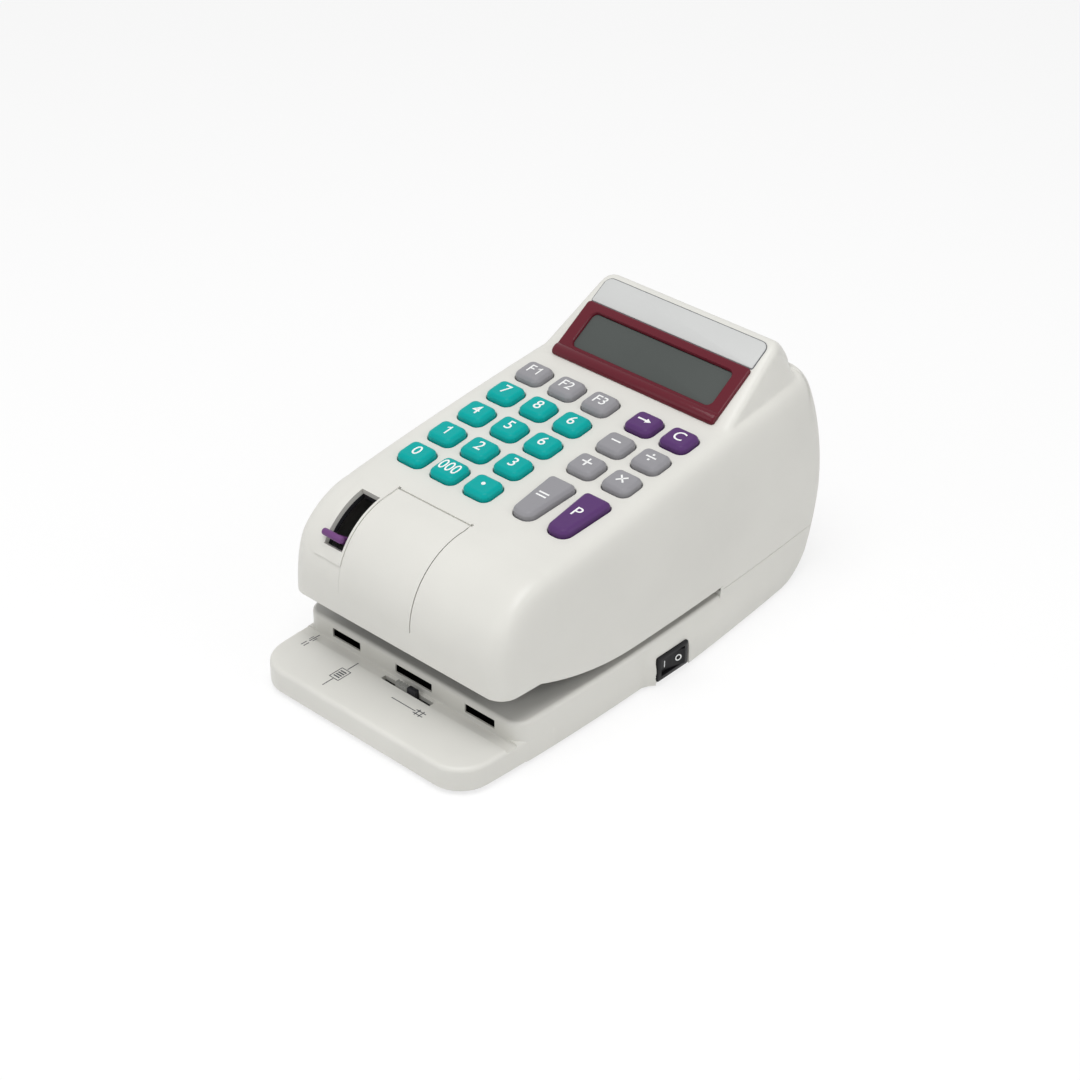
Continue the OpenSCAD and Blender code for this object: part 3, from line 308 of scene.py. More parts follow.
SLIDER_GREY = moulding("slider_plastic", (168, 168, 164), rough=0.45, grain=0.2)
print("finishes", len(bpy.data.materials))

# %% [markdown]
# ## The head as one lofted surface
# The head is the piece that takes most skill. At each place along the body its section is a soft
# superellipse: flat across the key deck, rounding over a crease into an upright side. The nose and
# the rear wall are circles seen from the side, so the stations there are spread by angle. Where
# the display hood stands, its own section is merged in with a smooth maximum, which leaves the
# small moulded fillet between the two.

# %% Sections of the head
def soft_max(a, b, k):
    """The larger of two values, rounded over where they differ by less than k."""
    h = np.clip((k - np.abs(a - b)) / k, 0, 1)
    return np.maximum(a, b) + h * h * k / 4


def soft_min(a, b, k):
    """The smaller of two values, rounded over where they differ by less than k."""
    return -soft_max(-a, -b, k)


def corner_inset(r, gap):
    """Inset of an upright edge of radius r at a distance gap from the end face: r less the leg of
    a circle."""
    s = np.clip(r - gap, 0, r)
    return r - np.sqrt(np.maximum(0, r * r - s * s))


SECTION_FOOT = 20.0
NOSE_CORNER_R, REAR_CORNER_R = 10.0, 9.0
side_angles = np.radians(np.linspace(0, 78, 70))
deep = np.arccos(10.0 ** -np.linspace(0.7, 8, 110))
quarter = np.concatenate([side_angles, deep])


def head_outline(y, d):
    """Right half of the head's section at y, inset by d, from the middle of its foot to the middle
    of its top: x is w times the cosine to the power 2/SIDE_POW, z rises with the sine."""
    w = half_width(y) - d - corner_inset(NOSE_CORNER_R, y - NOSE_Y - d)
    top = deck_at(y) - d / np.cos(TILT)
    if y < NOSE_CY:
        top = min(top, NOSE_CZ + np.sqrt(max(0, (NOSE_R - d) ** 2 - (y - NOSE_CY) ** 2)))
    rise = np.sqrt(max(0, (REAR_R - d) ** 2 - (y - REAR_CY) ** 2))
    low = SECTION_FOOT
    if y > REAR_CY:
        top = min(top, REAR_Z + rise)
        low = max(low, REAR_Z - rise)
    mid = max(top - SHOULDER_H, min(low + 6, top - 3), NOSE_Z if y < NOSE_CY else 0)
    z_side = np.linspace(low, mid, 40)[:-1]
    z_arc = mid + (top - mid) * np.sin(quarter) ** (2 / TOP_POW)
    z = np.concatenate([z_side, z_arc])
    shape = np.concatenate([np.ones(len(z_side)), np.cos(quarter) ** (2 / SIDE_POW)])
    x = (w - corner_inset(REAR_CORNER_R, rear_at(z) - d - y)) * shape
    foot = np.linspace(0, x[0], 30)[:-1]
    roof = np.linspace(x[-1], 0, 30)[1:]
    return (np.concatenate([foot, x, roof]),
            np.concatenate([np.full(len(foot), low), z, np.full(len(roof), top)]), low, top)


CREST_LIFT, CREST_ROUND, HOOD_ROUND = 0.9, 5.0, 6.0
FADE_Z, FADE_RATE = 128.0, 0.35


def hood_radius(theta, y, d, z0):
    """Distance from the section's centre to the hood along rays: the nearer of its side, which
    tapers above the deck, and its top, with their corner rounded. Towards the rear wall the side
    is drawn in, as the body's own corners are, and less so above FADE_Z."""
    face = FOOT_Z + (y - FOOT_Y) * np.tan(FACE_TILT) - d / np.cos(FACE_TILT)
    rear = REAR_Z + np.sqrt(max(0.0, (REAR_R - 1 - d) ** 2 - (y - REAR_CY) ** 2))
    top = soft_min(soft_min(face, HOOD_TOP + CREST_LIFT - d, CREST_ROUND), rear, HOOD_ROUND)
    taper = HOOD_DRAFT / (HOOD_TOP - FOOT_Z)
    across = np.maximum(np.abs(np.cos(theta)) + taper * np.sin(theta), 1e-3)
    height = np.clip(z0 + HOOD_W * np.tan(np.clip(theta, 0, 1.4)), FOOT_Z - 6, max(top, FOOT_Z))
    gap = rear_at(height) + 0.5 + FADE_RATE * np.maximum(0, height - FADE_Z) - d - y
    foot_w = min(HOOD_W, half_width(y) - 6) - d - corner_inset(HOOD_CORNER_R, gap)
    tapered = (foot_w + taper * (FOOT_Z - z0)) / across
    side = np.minimum(tapered, (foot_w + 0.3) / np.maximum(np.abs(np.cos(theta)), 1e-3))
    up = np.minimum((top - z0) / np.maximum(np.sin(theta), 0.02), 1e4)
    return np.where(theta > 0.02, soft_min(side, up, HOOD_ROUND), 0.0)


def even_ring(x, z, count, pull):
    """Resamples a closed outline to count points, spread by its length plus pull times how far it
    turns, so that tight corners get more points."""
    x, z = np.append(x, x[0]), np.append(z, z[0])
    step = np.hypot(np.diff(x), np.diff(z))
    heading = np.unwrap(np.arctan2(np.diff(z), np.diff(x)))
    turn = np.abs(np.diff(heading, append=heading[0] + 2 * np.pi * np.sign(heading[-1] - heading[0])))
    turn = np.convolve(np.minimum(turn, 1.0), np.ones(9) / 9, "same")
    measure = np.concatenate([[0], np.cumsum(step + pull * turn)])
    at = np.linspace(0, measure[-1], count, endpoint=False)
    return np.interp(at, measure, x), np.interp(at, measure, z)


HOOD_REACH, FILLET, CORNER_PULL = 200.0, 1.6, 14.0


def head_ring(y, d, count, hood=True):
    """One closed ring of the head at y: the head's outline and the hood's, merged along rays."""
    hx, hz, low, top = head_outline(y, d)
    z0 = (low + top) / 2
    ang = np.arctan2(hz - z0, hx)
    rad = np.hypot(hx, hz - z0)
    theta = np.radians(np.linspace(-90, 90, 900))
    r = np.interp(theta, ang, rad)
    if hood and y > FOOT_Y - 8:
        r = soft_max(r, np.minimum(hood_radius(theta, y, d, z0), HOOD_REACH), FILLET)
    x, z = r * np.cos(theta), z0 + r * np.sin(theta)
    x, z = np.concatenate([x, -x[-2:0:-1]]), np.concatenate([z, z[-2:0:-1]])
    x, z = even_ring(x, z, count, CORNER_PULL)
    return np.column_stack([x, np.full(count, y), z])


def head_stations(d, fine):
    """Places of the rings: by angle round the nose and the rear wall, close at the hood's foot."""
    nose = NOSE_CY - (NOSE_R - d) * np.cos(np.radians(np.linspace(0.6, 96, int(30 * fine))))
    deck = np.linspace(nose[-1], FOOT_Y - 5, int(26 * fine))[1:-1]
    foot = np.linspace(FOOT_Y - 5, FOOT_Y + 6, int(20 * fine))[:-1]
    a_top = np.arcsin((HOOD_TOP - 3 - REAR_Z) / REAR_R)
    face = np.linspace(FOOT_Y + 6, REAR_CY + REAR_R * np.cos(a_top) - 12, int(14 * fine))[:-1]
    crest = np.linspace(face[-1] + 2, REAR_CY + REAR_R * np.cos(a_top), int(22 * fine))[:-1]
    rear = REAR_CY + (REAR_R - d) * np.cos(np.linspace(a_top, np.radians(0.7), int(46 * fine)))
    return np.unique(np.round(np.concatenate([nose, deck, foot, face, crest, rear]), 4))


def head_solid(name, d, count, fine, hood=True):
    """The whole head as a closed loft, inset by d."""
    rings = np.stack([head_ring(y, d, count, hood) for y in head_stations(d, fine)])
    return loft(name, rings)


print("rings from nose to rear wall", len(head_stations(0.0, 1.0)))

# %% [markdown]
# ## The upper housing
# The moulded shell is the lofted head less a smaller copy of itself, cut below by the curved roof
# of the throat and opened for the keys, the display, the ink roller cover and the lever.

# %% Places on the deck and on the display face
def on_deck(x, y, points):
    """Points given across, up the deck and out of it, at the deck's place x, y."""
    p = np.asarray(points, float)
    c, s = np.cos(TILT), np.sin(TILT)
    return np.stack([x + p[..., 0], y + p[..., 1] * c - p[..., 2] * s,
                     deck_at(y) + p[..., 1] * s + p[..., 2] * c], -1)


def on_face(up, points):
    """Points given across, up the slope and out of it, at a distance up the display face."""
    p = np.asarray(points, float)
    c, s = np.cos(FACE_TILT), np.sin(FACE_TILT)
    v = up + p[..., 1]
    return np.stack([p[..., 0], FOOT_Y + v * c - p[..., 2] * s, FOOT_Z + v * s + p[..., 2] * c], -1)


def rounded_plan(w, l, radii, steps=7, front_in=0.0):
    """Closed plan of a rectangle with rounded corners: radii for rear and front corners, and the
    front drawn in by front_in on each side."""
    rr, rf = radii
    out = []
    for cx, cy, r, a0 in ((w / 2 - rr, l / 2 - rr, rr, 0), (-w / 2 + rr, l / 2 - rr, rr, 90),
                          (-w / 2 + front_in + rf, -l / 2 + rf, rf, 180),
                          (w / 2 - front_in - rf, -l / 2 + rf, rf, 270)):
        a = np.radians(np.linspace(a0, a0 + 90, steps))
        out.append(np.column_stack([cx + r * np.cos(a), cy + r * np.sin(a)]))
    return np.concatenate(out)


def rounded(w, l, rear_r, front_r, least=0.3, front_in=0.0):
    """Plan as a function of its inset: a rounded rectangle drawn in by it, whose corner radii shrink
    by as much, but not below least."""
    return lambda i: rounded_plan(w - 2 * i, l - 2 * i, (max(least, rear_r - i), max(least, front_r - i)),
                                  front_in=front_in)


def stack(plan_at, levels):
    """Rings from a plan function of the inset and a list of (height, inset)."""
    return np.stack([np.column_stack([p, np.full(len(p), h)])
                     for h, inset in levels for p in [plan_at(inset)]])


print("foot of the display face", FOOT_Y, round(float(FOOT_Z), 1))

# %% [markdown]
# ## Where the keys sit
# The 23 keys stand in five columns, which leave a wider gap before the last two. Each place follows
# from its column and its row, and a tall key covers two rows. On the machine in the photograph the
# key in the place of the 9 carries a 6, so key_9 has that legend.

# %% Keys: places and plans
KEY_ROW, ROW_0, TALL_SHARE = 21.75, -47.3, 0.82
KEY_W, KEY_D, KEY_H, KEY_GAP = 17.0, 15.6, 3.8, 0.5
CAP_R, TALL_REAR_R, TALL_FRONT_R, TALL_TAPER = 4.2, 3.4, 5.4, 1.6
KEY_PY = KEY_ROW * np.cos(TILT)
COLUMN_X = [-48.2, -25.2, -2.2, 27.4, 50.4]
KEYS = {"key_0": (0, 0, 1, "0"), "key_000": (1, 0, 1, "000"), "key_dot": (2, 0, 1, "dot"),
        "key_1": (0, 1, 1, "1"), "key_2": (1, 1, 1, "2"), "key_3": (2, 1, 1, "3"),
        "key_4": (0, 2, 1, "4"), "key_5": (1, 2, 1, "5"), "key_6": (2, 2, 1, "6"),
        "key_7": (0, 3, 1, "7"), "key_8": (1, 3, 1, "8"), "key_9": (2, 3, 1, "6"),
        "key_f1": (0, 4, 1, "F1"), "key_f2": (1, 4, 1, "F2"), "key_f3": (2, 4, 1, "F3"),
        "key_plus": (3, 2, 1, "plus"), "key_times": (4, 2, 1, "times"),
        "key_minus": (3, 3, 1, "minus"), "key_divide": (4, 3, 1, "divide"),
        "key_arrow": (3, 4, 1, "arrow"), "key_c": (4, 4, 1, "C"),
        "key_equals": (3, 0, 2, "equals"), "key_print": (4, 0, 2, "P")}


def key_place(name):
    """Middle of a key on the deck and its length."""
    column, row, span, _ = KEYS[name]
    length = KEY_D + (span - 1) * KEY_ROW * TALL_SHARE
    return COLUMN_X[column], ROW_0 + (row + (span - 1) / 2) * KEY_PY, length


def key_plan(name, inset):
    """Plan of a key, drawn in by inset; a tall key is narrower and rounder at its front."""
    length = key_place(name)[2]
    if KEYS[name][2] == 1:
        return rounded(KEY_W, length, CAP_R, CAP_R, 0.5)(inset)
    return rounded(KEY_W, length, TALL_REAR_R, TALL_FRONT_R, 0.5, TALL_TAPER)(inset)


def key_opening(name):
    """Cutter for a key's opening, slightly flared at the deck so that the edge is eased."""
    x, y, _ = key_place(name)
    levels = [(-9, -KEY_GAP), (-0.35, -KEY_GAP), (0.0, -KEY_GAP - 0.3), (9, -KEY_GAP - 0.3)]
    return on_deck(x, y, stack(lambda i: key_plan(name, i), levels))


print("keys", len(KEYS), "with caps of", KEY_W, "by", KEY_D)

# %% [markdown]
# ## Opening the shell
# The real shell comes out of its mould with these openings. Here they are cut with exact booleans,
# one cutter after the other, because every cutter is a closed loft of its own: the throat that
# the paper slides into, a well for each key, the display's, the cover's and the lever's openings.

# %% The shell
COVER_X, COVER_W, HINGE_Y, COVER_LOW = -12.35, 49.7, -72.0, 57.0
COVER_LEFT, COVER_RIGHT = COVER_X - COVER_W / 2, COVER_X + COVER_W / 2
HINGE_Z = deck_at(HINGE_Y) - 1.2
SLOT_X, SLOT_W = -44.9, 12.6
RIM_LEFT, RIM_RIGHT = -53.9, -37.35
SEAM_LEFT, SEAM_RIGHT, NOTCH_HALF = 0.1, 0.45, 0.8
WELL_W, WELL_L, WELL_UP = 100, 28, 18.5


def nose_band(x0, x1, r0, r1, a0, a1, steps=40):
    """Block bent round the nose: between two radii and two angles forward of upright."""
    a = np.radians(np.linspace(a0, a1, steps))
    ring = np.array([[x0, r0], [x1, r0], [x1, r1], [x0, r1]])
    return np.stack([np.column_stack([ring[:, 0], NOSE_CY - ring[:, 1] * np.sin(t),
                                      NOSE_CZ + ring[:, 1] * np.cos(t)]) for t in a])


def throat_rings():
    """Everything below the head: straight under the nose, falling along a parabola to the flat
    roof of the throat, then down to the seam behind it."""
    y = np.linspace(ROOF_START_Y, ROOF_FLAT_Y, 60)
    roof = ROOF_Z + (ROOF_FLAT_Y - y) ** 2 * (NOSE_Z - ROOF_Z) / (ROOF_FLAT_Y - ROOF_START_Y) ** 2
    return across_body(np.concatenate([[[FRONT_Y - 9, -5], [FRONT_Y - 9, NOSE_Z]],
                                       np.column_stack([y, roof]),
                                       [[THROAT_Y, ROOF_Z], [THROAT_Y, SEAM_Z],
                                        [REAR_Y + 9, SEAM_Z], [REAR_Y + 9, -5]]]))


def build_shell():
    """Outer loft less the inner one, less all openings."""
    shell = head_solid("upper_housing_shell", 0.0, 200, 1.0)
    combine(shell, head_solid("inner", WALL, 110, 0.45), "DIFFERENCE")
    cut(shell, throat_rings())
    cut(shell, *[key_opening(k) for k in KEYS])
    well = on_face(WELL_UP, stack(lambda i: rounded_plan(WELL_W, WELL_L, (1.5, 1.5)), [(-9, 0), (12, 0)]))
    cover_hole = box_rings((COVER_LEFT - SEAM_LEFT, NOSE_Y - 5, COVER_LOW - 0.03),
                           (COVER_RIGHT + SEAM_RIGHT, HINGE_Y + 1.3, 130))
    notches = [box_rings((x - NOTCH_HALF, HINGE_Y + 0.4, HINGE_Z - 1),
                         (x + NOTCH_HALF, HINGE_Y + 2.1, 130))
               for x in (COVER_LEFT, COVER_RIGHT + 0.2)]
    cut(shell, *notches)
    cut(shell, well)
    cut(shell, cover_hole)
    return cut(shell, nose_band(RIM_LEFT - 0.3, COVER_LEFT - 0.05, NOSE_R - 6, NOSE_R + 6, 9, 63))


shell = build_shell()
dress(soften(shell), HOUSING, replaces=["upper_housing"])
print("upper housing", len(shell.data.polygons), "faces")

# %% [markdown]
# ## The ink roller cover
# The cover is cut from the same loft, so its surface runs on into the shell without a step. A roll
# of 1.2 mm radius at its rear edge turns with it on the hinge pins.

# %% Ink roller cover
ROLL_R, PIN_R, PIN_OUT = 1.19, 0.9, 2.5


def build_cover():
    """Head loft inside the cover's zone, less the inner loft, joined to its hinge roll."""
    cover = head_solid("ink_roller_cover", 0.0, 260, 1.0, hood=False)
    right = COVER_RIGHT - 0.15
    zone = box_rings((COVER_LEFT, NOSE_Y - 5, COVER_LOW), (right, HINGE_Y, 130))
    combine(cover, loft("zone", zone), "INTERSECT")
    combine(cover, head_solid("inner", WALL, 110, 0.45, hood=False), "DIFFERENCE")
    join(cover, rod([(COVER_LEFT, ROLL_R), (right, ROLL_R)], HINGE_Y, HINGE_Z, 32))
    pins = [(COVER_LEFT - PIN_OUT, PIN_R), (COVER_RIGHT + PIN_OUT, PIN_R)]
    return join(cover, rod(pins, HINGE_Y, HINGE_Z, 32))


cover = dress(soften(build_cover()), HOUSING, "ink_cover", ["ink_cover"])
print("ink roller cover", len(cover.data.polygons), "faces")

# %% [markdown]
# ## The base
# The base is a stack of plan outlines. The sides bow like the head's, and from near the middle to
# the rear their foot flares out to carry the power switch. The tray in front, the wall with its
# three windows and the paper deck all have rounded top edges, which catch the light as thin bright
# lines. Booleans then hollow it from below and open it, as the mould does.

# %% Base housing
FLARE, FLARE_Y0, FLARE_Y1 = 5.0, -15.0, 124.0
SWITCH_Y, SWITCH_Z, SWITCH_X = 4.5, 10.2, 78.4
SWITCH_L, SWITCH_H = 24.0, 14.6
WINDOWS = ((-44.8, 20.0), (3.2, 25.4), (48.6, 20.0))
WINDOW_LOW, WINDOW_HIGH = 17.1, 22.3
STOP_X, STOP_RUN, ROLL_X = 2.5, 17.0, (-32.0, 6.0)
TRAY_PLAN, DECK_CORNER, RIM_CORNER, HOLLOW_CORNER = (FRONT_Y, WALL_Y + 30, 17.0, 6.0), 8.0, 9.0, 14.0
REAR_ROUND = 14.0
INLET_X, INLET_Z, INLET_R = -40.0, 16.0, 4.5


def flare_at(y, z):
    """How far the side stands out: a quick smooth rise at its front end, then a straight run-out
    to the rear, fading with height above the switch."""
    u = np.clip((y - FLARE_Y0) / 9.0, 0, 1)
    rise = u * u * (3 - 2 * u)
    run = np.clip((FLARE_Y1 - y) / (FLARE_Y1 - FLARE_Y0 - 9), 0, 1)
    h = np.clip((z - BASE_Z - 10) / 13.0, 0, 1)
    return FLARE * rise * run * (1 - h * h * (3 - 2 * h))


def plan_ring(y0, y1, r0, r1, inset, z, flare=True):
    """Closed plan with bowed sides, corner radii r0 in front and r1 behind, drawn in by inset."""
    def corner(y, r, sign):
        a = np.radians(np.linspace(0, 90, 9))
        return r - (r - inset) * np.cos(a), y + sign * (r - (r - inset) * np.sin(a))
    in0, yy0 = corner(y0, r0, 1)
    in1, yy1 = corner(y1, r1, -1)
    y = np.concatenate([yy0[::-1], np.linspace(y0 + r0, y1 - r1, 60)[1:-1], yy1])
    draw = np.concatenate([in0[::-1], np.full(58, inset), in1])
    x = half_width(y) - draw
    if flare:
        x = x + flare_at(y, z)
    ring = np.concatenate([np.column_stack([x, y]), np.column_stack([-x[::-1], y[::-1]])])
    return np.column_stack([ring, np.full(len(ring), z)])


def edge_levels(z0, z1, r_low, r_top, steps=7):
    """Heights and insets of an upright side with a rounded foot and a rounded top edge."""
    a = np.radians(np.linspace(0, 90, steps))
    low = [(z0 + r_low * (1 - np.sin(t)), r_low * (1 - np.cos(t))) for t in a[::-1]]
    high = [(z1 - r_top + r_top * np.sin(t), r_top * (1 - np.cos(t))) for t in a]
    mid = [(z, 0.0) for z in np.linspace(low[-1][0], high[0][0], 6)[1:-1]]
    return low + mid + high


def foot_y(z):
    """y of the rear wall at a height, drawn in below by a quarter circle of REAR_ROUND."""
    below = REAR_ROUND - (z - BASE_Z)
    return rear_at(z) - (REAR_ROUND - np.sqrt(REAR_ROUND ** 2 - max(0.0, below) ** 2))


def build_base():
    """Tray, deck and rear rim joined, hollowed from below, then opened."""
    tray = [plan_ring(*TRAY_PLAN, i, z) for z, i in edge_levels(BASE_Z, TRAY_Z, 1.0, 2.6)]
    sides = (2.0, 2.6, 3.6, 5, 7, 9.5, 12, 14, 16, 18, 20, 22, 23)
    deck = [plan_ring(WALL_Y, foot_y(z), DECK_CORNER, RIM_CORNER, 0.0, z) for z in sides]
    deck += [plan_ring(WALL_Y, foot_y(z) if i == 0 else rear_at(z), DECK_CORNER, RIM_CORNER, i, z)
             for z, i in edge_levels(BASE_Z, DECK_Z, 1.0, 2.2)[-7:]]
    levels = [(z, 0.0) for z in np.linspace(20, SEAM_Z - 0.45, 7)] + [(SEAM_Z - 0.25, 0.3)]
    rim = loft("rim", [plan_ring(WALL_Y, rear_at(z), DECK_CORNER, RIM_CORNER, i, z) for z, i in levels])
    cut(rim, box_rings((-PAST, FRONT_Y - 9, 0), (PAST, THROAT_Y, 90)))
    base = join(loft("base_shell", tray), deck)
    combine(base, rim, "UNION")
    # The hollows under the tray, the deck and the rear rim, and a rib where the throat ends.
    cut(base, [plan_ring(*TRAY_PLAN, WALL, z, False) for z in (0, 11.4)])
    cut(base, [plan_ring(WALL_Y, 102.0, DECK_CORNER, HOLLOW_CORNER, WALL, z, False)
               for z in (0, DECK_Z - WALL)])
    cut(base, [plan_ring(THROAT_Y + WALL, 124.0, 3.0, HOLLOW_CORNER, WALL, z, False) for z in (5, 70)])
    join(base, box_rings((-74.5, THROAT_Y, 25), (74.5, THROAT_Y + WALL, DECK_Z + 4.7)))
    # The trough at the foot of the wall, with eased bottom edges.
    cut(base, across_body([[WALL_Y - 7, 30], [WALL_Y - 7, 14.5], [WALL_Y - 6.7, 14.1],
                           [WALL_Y - 6.2, 13.9], [WALL_Y - 0.6, 13.9], [WALL_Y - 0.15, 14.05],
                           [WALL_Y, 14.5], [WALL_Y, 30]]))
    # The three windows, the stop slider's slot, and a wider recess behind each window.
    holes = [box_rings((x - w / 2, WALL_Y - 1, WINDOW_LOW), (x + w / 2, WALL_Y + 6, WINDOW_HIGH))
             for x, w in WINDOWS]
    stop_slot = box_rings((STOP_X - STOP_RUN, WALL_Y - 5.6, 5), (STOP_X + STOP_RUN, WALL_Y - 2.2, 35))
    cut(base, *holes, stop_slot)
    cut(base, *[box_rings((x - w / 2 - 2, WALL_Y + 0.8, 15.7), (x + w / 2 + 2, WALL_Y + 7, 23.4))
                for x, w in WINDOWS])
    # Openings in the deck for the print station and the feed roller.
    cut(base, box_rings((ROLL_X[0] - 2, -72.7, 5), (ROLL_X[1] + 2, -60.7, 35)),
        box_rings((ROLL_X[0] - 1, -45.6, 5), (ROLL_X[1] + 1, -30.4, 35)))
    # The switch's flat seat and the hole for its body, and the power inlet in the rear wall.
    cut(base, box_rings((SWITCH_X, SWITCH_Y - 13, 1), (100, SWITCH_Y + 13, 20.6)))
    cut(base, box_rings((60, SWITCH_Y - 10.5, 3.9), (90, SWITCH_Y + 10.5, 16.5)))
    return cut(base, rod([(110, INLET_R), (150, INLET_R)], INLET_X, INLET_Z, 32)[..., [1, 0, 2]])


base = build_base()
dress(soften(base), HOUSING, replaces=["base_housing"])
print("base", len(base.data.polygons), "faces")

# %% [markdown]
# ## The key caps
# A key cap is a stack of its own plan: an upright skirt, a sloped shoulder eased at both ends, then
# a top that dishes in slightly under the finger. The flange below the skirt keeps the cap from
# coming out of its opening, and each cap rides on its own body, so that it can be pressed.

# %% Key caps
DISH = 0.08


def key_cap(name):
    """Rings of a key: hidden flange, skirt, a sloped shoulder eased at both ends, a dished top."""
    levels = [(-3.9, -0.8), (-2.75, -0.8), (-2.7, 0.1), (-0.2, 0.0), (1.55, 0.1), (1.9, 0.16), (2.2, 0.32),
              (2.5, 0.56), (3.05, 1.08), (3.35, 1.38), (3.58, 1.68), (3.73, 2.02), (KEY_H, 2.5)]
    x, y, _ = key_place(name)
    rings = stack(lambda i: key_plan(name, i), levels)
    rim = rings[-1]
    middle = rim[:, :2].mean(0)
    for k in (0.86, 0.66, 0.44, 0.22, 0.06):
        dip = DISH * (1 - k * k)
        ring = np.column_stack([middle + (rim[:, :2] - middle) * k, np.full(len(rim), KEY_H - dip)])
        rings = np.concatenate([rings, ring[None]])
    return on_deck(x, y, rings)


KEY_FINISH = {"key_plus": "grey", "key_times": "grey", "key_minus": "grey", "key_divide": "grey",
              "key_equals": "grey", "key_f1": "grey", "key_f2": "grey", "key_f3": "grey",
              "key_arrow": "purple", "key_c": "purple", "key_print": "purple"}
FINISHES = {"teal": KEY_TEAL, "grey": KEY_GREY, "purple": KEY_PURPLE}
for name in KEYS:
    shade = KEY_FINISH.get(name, "teal")
    cap = soften(loft(name + "_cap", key_cap(name)), 50)
    dress(cap, FINISHES[shade], name, [name])
print("key caps", len(KEYS), "each with", len(cap.data.polygons), "faces")

# %% [markdown]
# ## Legends
# The legends read as white ink on the caps. Here they are flat outlines given about a tenth of a
# millimetre of thickness, so that they are geometry and not an image. Signs are bars, letters and
# figures come from the font, and the 1 is drawn as a stroke with a flag.

# %% Legends
BAR_T = 0.95


def strokes(mark):
    """Legends that are plain strokes: a list of rectangles as x, y, width and height."""
    return {"minus": [(0, 0, 6.0, BAR_T)],
            "plus": [(0, 0, 6.2, BAR_T), (0, 0, BAR_T, 6.2)],
            "equals": [(0, 1.2, 6.4, BAR_T), (0, -1.2, 6.4, BAR_T)],
            "divide": [(0, 0, 6.2, BAR_T), (0, 2.2, 1.2, 1.2), (0, -2.2, 1.2, 1.2)]}.get(mark)


def bars(rects, turn=0.0):
    """Flat bars as closed four-point outlines."""
    out = []
    c, s = np.cos(turn), np.sin(turn)
    for x, y, w, h in rects:
        p = np.array([[-w / 2, -h / 2], [w / 2, -h / 2], [w / 2, h / 2], [-w / 2, h / 2]]) + [x, y]
        out.append(p @ np.array([[c, s], [-s, c]]))
    return out


def lettering(name, text, size, weight=0.0):
    """Text as a flat mesh, centred; returns its vertices in mm and its faces."""
    curve = bpy.data.curves.new(name, "FONT")
    curve.body, curve.size, curve.offset = text, size, weight
    curve.align_x, curve.align_y = "CENTER", "CENTER"
    curve.resolution_u = 4
    obj = bpy.data.objects.new(name, curve)
    bpy.context.scene.collection.objects.link(obj)
    depsgraph = bpy.context.evaluated_depsgraph_get()
    mesh = bpy.data.meshes.new_from_object(obj.evaluated_get(depsgraph))
    verts = np.empty(len(mesh.vertices) * 3)
    mesh.vertices.foreach_get("co", verts)
    faces = [list(p.vertices) for p in mesh.polygons]
    bpy.data.objects.remove(obj)
    bpy.data.meshes.remove(mesh)
    verts = verts.reshape(-1, 3)
    verts[:, :2] -= (verts[:, :2].min(0) + verts[:, :2].max(0)) / 2
    return verts, faces


def flat_marks(outlines):
    """Flat faces from closed outlines."""
    verts, faces, first = [], [], 0
    for p in outlines:
        verts.append(np.column_stack([p, np.zeros(len(p))]))
        faces.append(list(range(first, first + len(p))))
        first += len(p)
    return np.concatenate(verts), faces


def thicken(name, verts, faces, place, thick=0.12):
    """Flat marks set at a place and given a little thickness, half of it to each side."""
    obj = put_mesh(name, place(verts), faces)
    mod = obj.modifiers.new("ink", "SOLIDIFY")
    mod.thickness, mod.offset = thick * MM, 0.0
    return obj


ARROW = 1.35 * np.array([[-3.1, -0.4], [0.7, -0.4], [0.7, -1.35], [3.1, 0], [0.7, 1.35], [0.7, 0.4],
                         [-3.1, 0.4]])
ONE = np.array([[0.35, -3.3], [1.2, -3.3], [1.2, 3.3], [0.55, 3.3], [0.2, 2.6], [-1.2, 1.95], [-1.2, 1.2],
                [0.35, 1.85]])
DOT_R, TIMES_BAR = 1.15, (0, 0, 6.4, BAR_T)
LARGE, SMALL, WEIGHT = 9.6, 8.8, 0.03
LEGEND_UP, LEGEND_Z = 0.6, KEY_H - DISH + 0.075


def legend_mesh(mark):
    """Flat vertices and faces of one legend."""
    if mark == "arrow":
        return flat_marks([ARROW])
    if mark == "times":
        return flat_marks(bars([TIMES_BAR], np.pi / 4) + bars([TIMES_BAR], -np.pi / 4))
    if mark == "dot":
        a = np.linspace(0, 2 * np.pi, 20, endpoint=False)
        return flat_marks([DOT_R * np.column_stack([np.cos(a), np.sin(a)])])
    if strokes(mark):
        return flat_marks(bars(strokes(mark)))
    if mark == "1":
        return flat_marks([ONE])
    verts, faces = lettering(name, mark.replace("1", ""), LARGE if len(mark) < 2 else SMALL, WEIGHT)
    if mark == "F1":
        one, one_faces = flat_marks([0.92 * ONE + [2.5, 0]])
        faces += [[i + len(verts) for i in f] for f in one_faces]
        verts = np.concatenate([verts - [1.9, 0, 0], one])
    elif mark == "000":
        verts = verts * [0.96, 1.2, 1]
    return verts, faces


for name, (_, _, _, mark) in KEYS.items():
    x, y, _ = key_place(name)
    verts, faces = legend_mesh(mark)
    legend = thicken(name + "_legend", verts, faces, lambda v: on_deck(x, y, v + [0, LEGEND_UP, LEGEND_Z]))
    dress(legend, LEGEND, name)
print("legends", len(KEYS))
